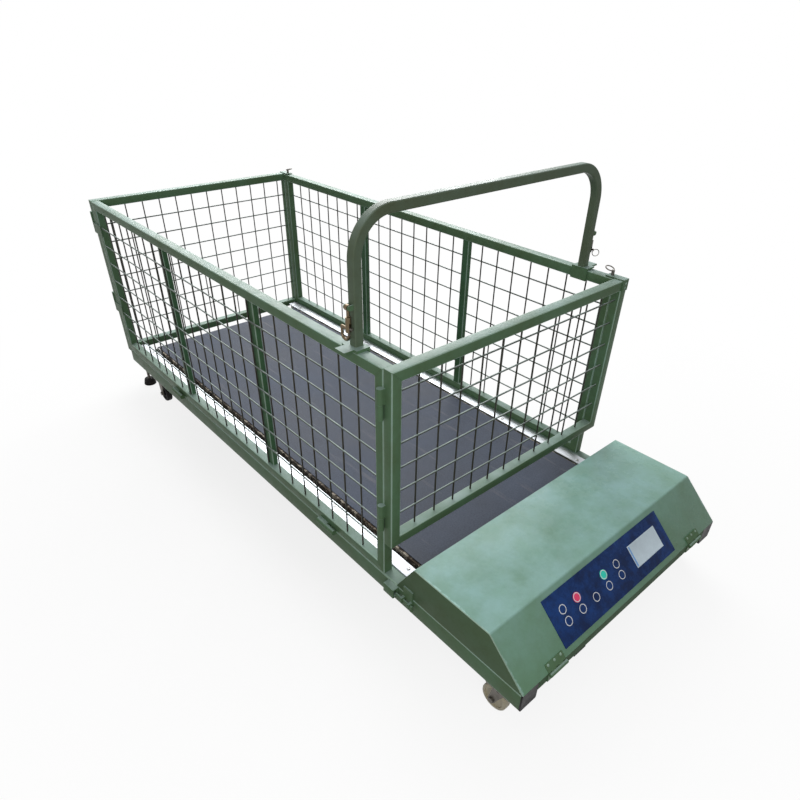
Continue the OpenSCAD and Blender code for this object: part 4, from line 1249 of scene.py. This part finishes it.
# Name, place, point it is turned to, power in watts, width and height of each lamp
LAMPS = (
    ("ceiling", (0.2, 0.2, 3.2), (0.1, 0, 0), 26.0, 3.2, 3.4),
    ("front", (-1.5, -1.8, 1.4), (0, -0.6, 0.2), 15.5, 1.4, 1.0),
    ("window", (1.9, 2.9, 2.7), (0, 0, 0.3), 200.0, 3.4, 2.4),
)


def lamp(name, place, aim, power, width, height):
    """A soft lamp at a place, turned to a point."""
    data = bpy.data.lights.new(name, "AREA")
    data.energy = power
    data.shape = "RECTANGLE"
    data.size = width
    data.size_y = height
    light = bpy.data.objects.new(name, data)
    light.location = place
    light.rotation_euler = (Vector(aim) - Vector(place)).to_track_quat("-Z", "Y").to_euler()
    bpy.context.collection.objects.link(light)


def seen_share(wiring):
    """One for rays from the camera, and for mirrored and refracted ones."""
    path = wiring.add("ShaderNodeLightPath").outputs
    direct = wiring.sums("MAXIMUM", path["Is Camera Ray"], path["Is Glossy Ray"])
    return wiring.sums("MAXIMUM", direct, path["Is Transmission Ray"])


def mixed_shader(wiring, share, first, second):
    """Two shaders mixed by a share."""
    node = wiring.add("ShaderNodeMixShader")
    for socket, value in zip(node.inputs, (share, first, second)):
        wiring.put(value, socket)
    return node.outputs[0]


class TREADMILL_OT_stage(bpy.types.Operator):
    """Sets the floor, the soft light, the white surround and the camera"""
    bl_idname = "treadmill.stage"
    bl_label = "Stage"

    def execute(self, context):
        self.floor()
        self.surround(context.scene)
        for values in LAMPS:
            lamp(*values)
        self.camera(context.scene)
        context.scene.view_settings.view_transform = "Standard"
        return {"FINISHED"}

    def floor(self):
        """A wide pale floor that keeps the treadmill's shadow and turns white further out."""
        shadow = 0.2
        shadow_from = 0.5
        shadow_to = 1.9
        ground = primitive("floor", bpy.ops.mesh.primitive_plane_add, size=80, location=ORIGIN)
        material = bpy.data.materials.new("floor_pale")
        material.use_nodes = True
        tree = material.node_tree
        tree.nodes.remove(tree.nodes["Principled BSDF"])
        wiring = Wiring(tree)
        bounced = wiring.fill(wiring.add("ShaderNodeBsdfDiffuse"), "BSDF", Color=(0.22, 0.22, 0.21))
        shadowed = wiring.fill(wiring.add("ShaderNodeBsdfDiffuse"), "BSDF", Color=(0.98, 0.98, 0.98))
        white = wiring.add("ShaderNodeEmission").outputs[0]
        far = wiring.add("ShaderNodeVectorMath", operation="LENGTH")
        wiring.put(wiring.add("ShaderNodeTexCoord").outputs["Object"], far.inputs[0])
        near = wiring.span(far.outputs["Value"], shadow_from, shadow_to, shadow, 0.0)
        shown = mixed_shader(wiring, near, white, shadowed)
        final = mixed_shader(wiring, seen_share(wiring), bounced, shown)
        wiring.put(final, tree.nodes["Material Output"].inputs["Surface"])
        ground.data.materials.append(material)

    def surround(self, scene):
        """A world that looks white and lights softly."""
        soft = 0.16
        scene.world = bpy.data.worlds.new("surround")
        scene.world.use_nodes = True
        tree = scene.world.node_tree
        wiring = Wiring(tree)
        strength = wiring.span(seen_share(wiring), 0.0, 1.0, soft, 1.0)
        wiring.fill(tree.nodes["Background"], "Background", Color=(1.0, 1.0, 1.0), Strength=strength)

    def camera(self, scene):
        """The photograph's own viewpoint, with its small roll and off-centre frame."""
        place = (-0.99655, -1.31261, 1.18343)
        turn = math.radians(-42.33)
        rise = math.radians(35.38)
        roll = math.radians(1.36)
        view = bpy.data.cameras.new("view")
        view.sensor_fit = "AUTO"
        view.sensor_width = 36.0
        view.lens = 27.358
        view.shift_x = -0.01125
        view.shift_y = 0.06035
        view.clip_start = 0.05
        level = math.cos(rise)
        back = Vector((math.sin(turn) * level, -math.cos(turn) * level, math.sin(rise)))
        across = Vector((math.cos(turn), math.sin(turn), 0))
        upward = back.cross(across)
        right = math.cos(roll) * across + math.sin(roll) * upward
        top = math.cos(roll) * upward - math.sin(roll) * across
        camera = bpy.data.objects.new("view", view)
        camera.matrix_world = Matrix((right, top, back)).transposed().to_4x4()
        camera.location = place
        bpy.context.collection.objects.link(camera)
        scene.camera = camera


STEPS = (
    TREADMILL_OT_finishes, TREADMILL_OT_base, TREADMILL_OT_side_panels, TREADMILL_OT_gates,
    TREADMILL_OT_hood, TREADMILL_OT_fasteners, TREADMILL_OT_strips, TREADMILL_OT_wheels,
    TREADMILL_OT_feet, TREADMILL_OT_keys, TREADMILL_OT_display, TREADMILL_OT_stage,
)


class TREADMILL_PT_panel(bpy.types.Panel):
    """Lists the treadmill's steps, sizes and colours"""
    bl_idname = "TREADMILL_PT_panel"
    bl_label = "Dog Treadmill"
    bl_space_type = "VIEW_3D"
    bl_region_type = "UI"
    bl_category = "Treadmill"

    def draw(self, context):
        for step in STEPS:
            self.layout.operator(step.bl_idname)
        for group in (context.scene.treadmill_sizes, context.scene.treadmill_colours):
            box = self.layout.box()
            for name in group.__annotations__:
                box.prop(group, name)


CLASSES = (TreadmillSizes, TreadmillColours, *STEPS, TREADMILL_PT_panel)


def register():
    for item in CLASSES:
        bpy.utils.register_class(item)
    bpy.types.Scene.treadmill_sizes = bpy.props.PointerProperty(type=TreadmillSizes)
    bpy.types.Scene.treadmill_colours = bpy.props.PointerProperty(type=TreadmillColours)


def unregister():
    del bpy.types.Scene.treadmill_colours
    del bpy.types.Scene.treadmill_sizes
    for item in reversed(CLASSES):
        bpy.utils.unregister_class(item)


def main():
    register()
    for step in STEPS:
        group, name = step.bl_idname.split(".")
        getattr(getattr(bpy.ops, group), name)()


if __name__ == "__main__":
    main()
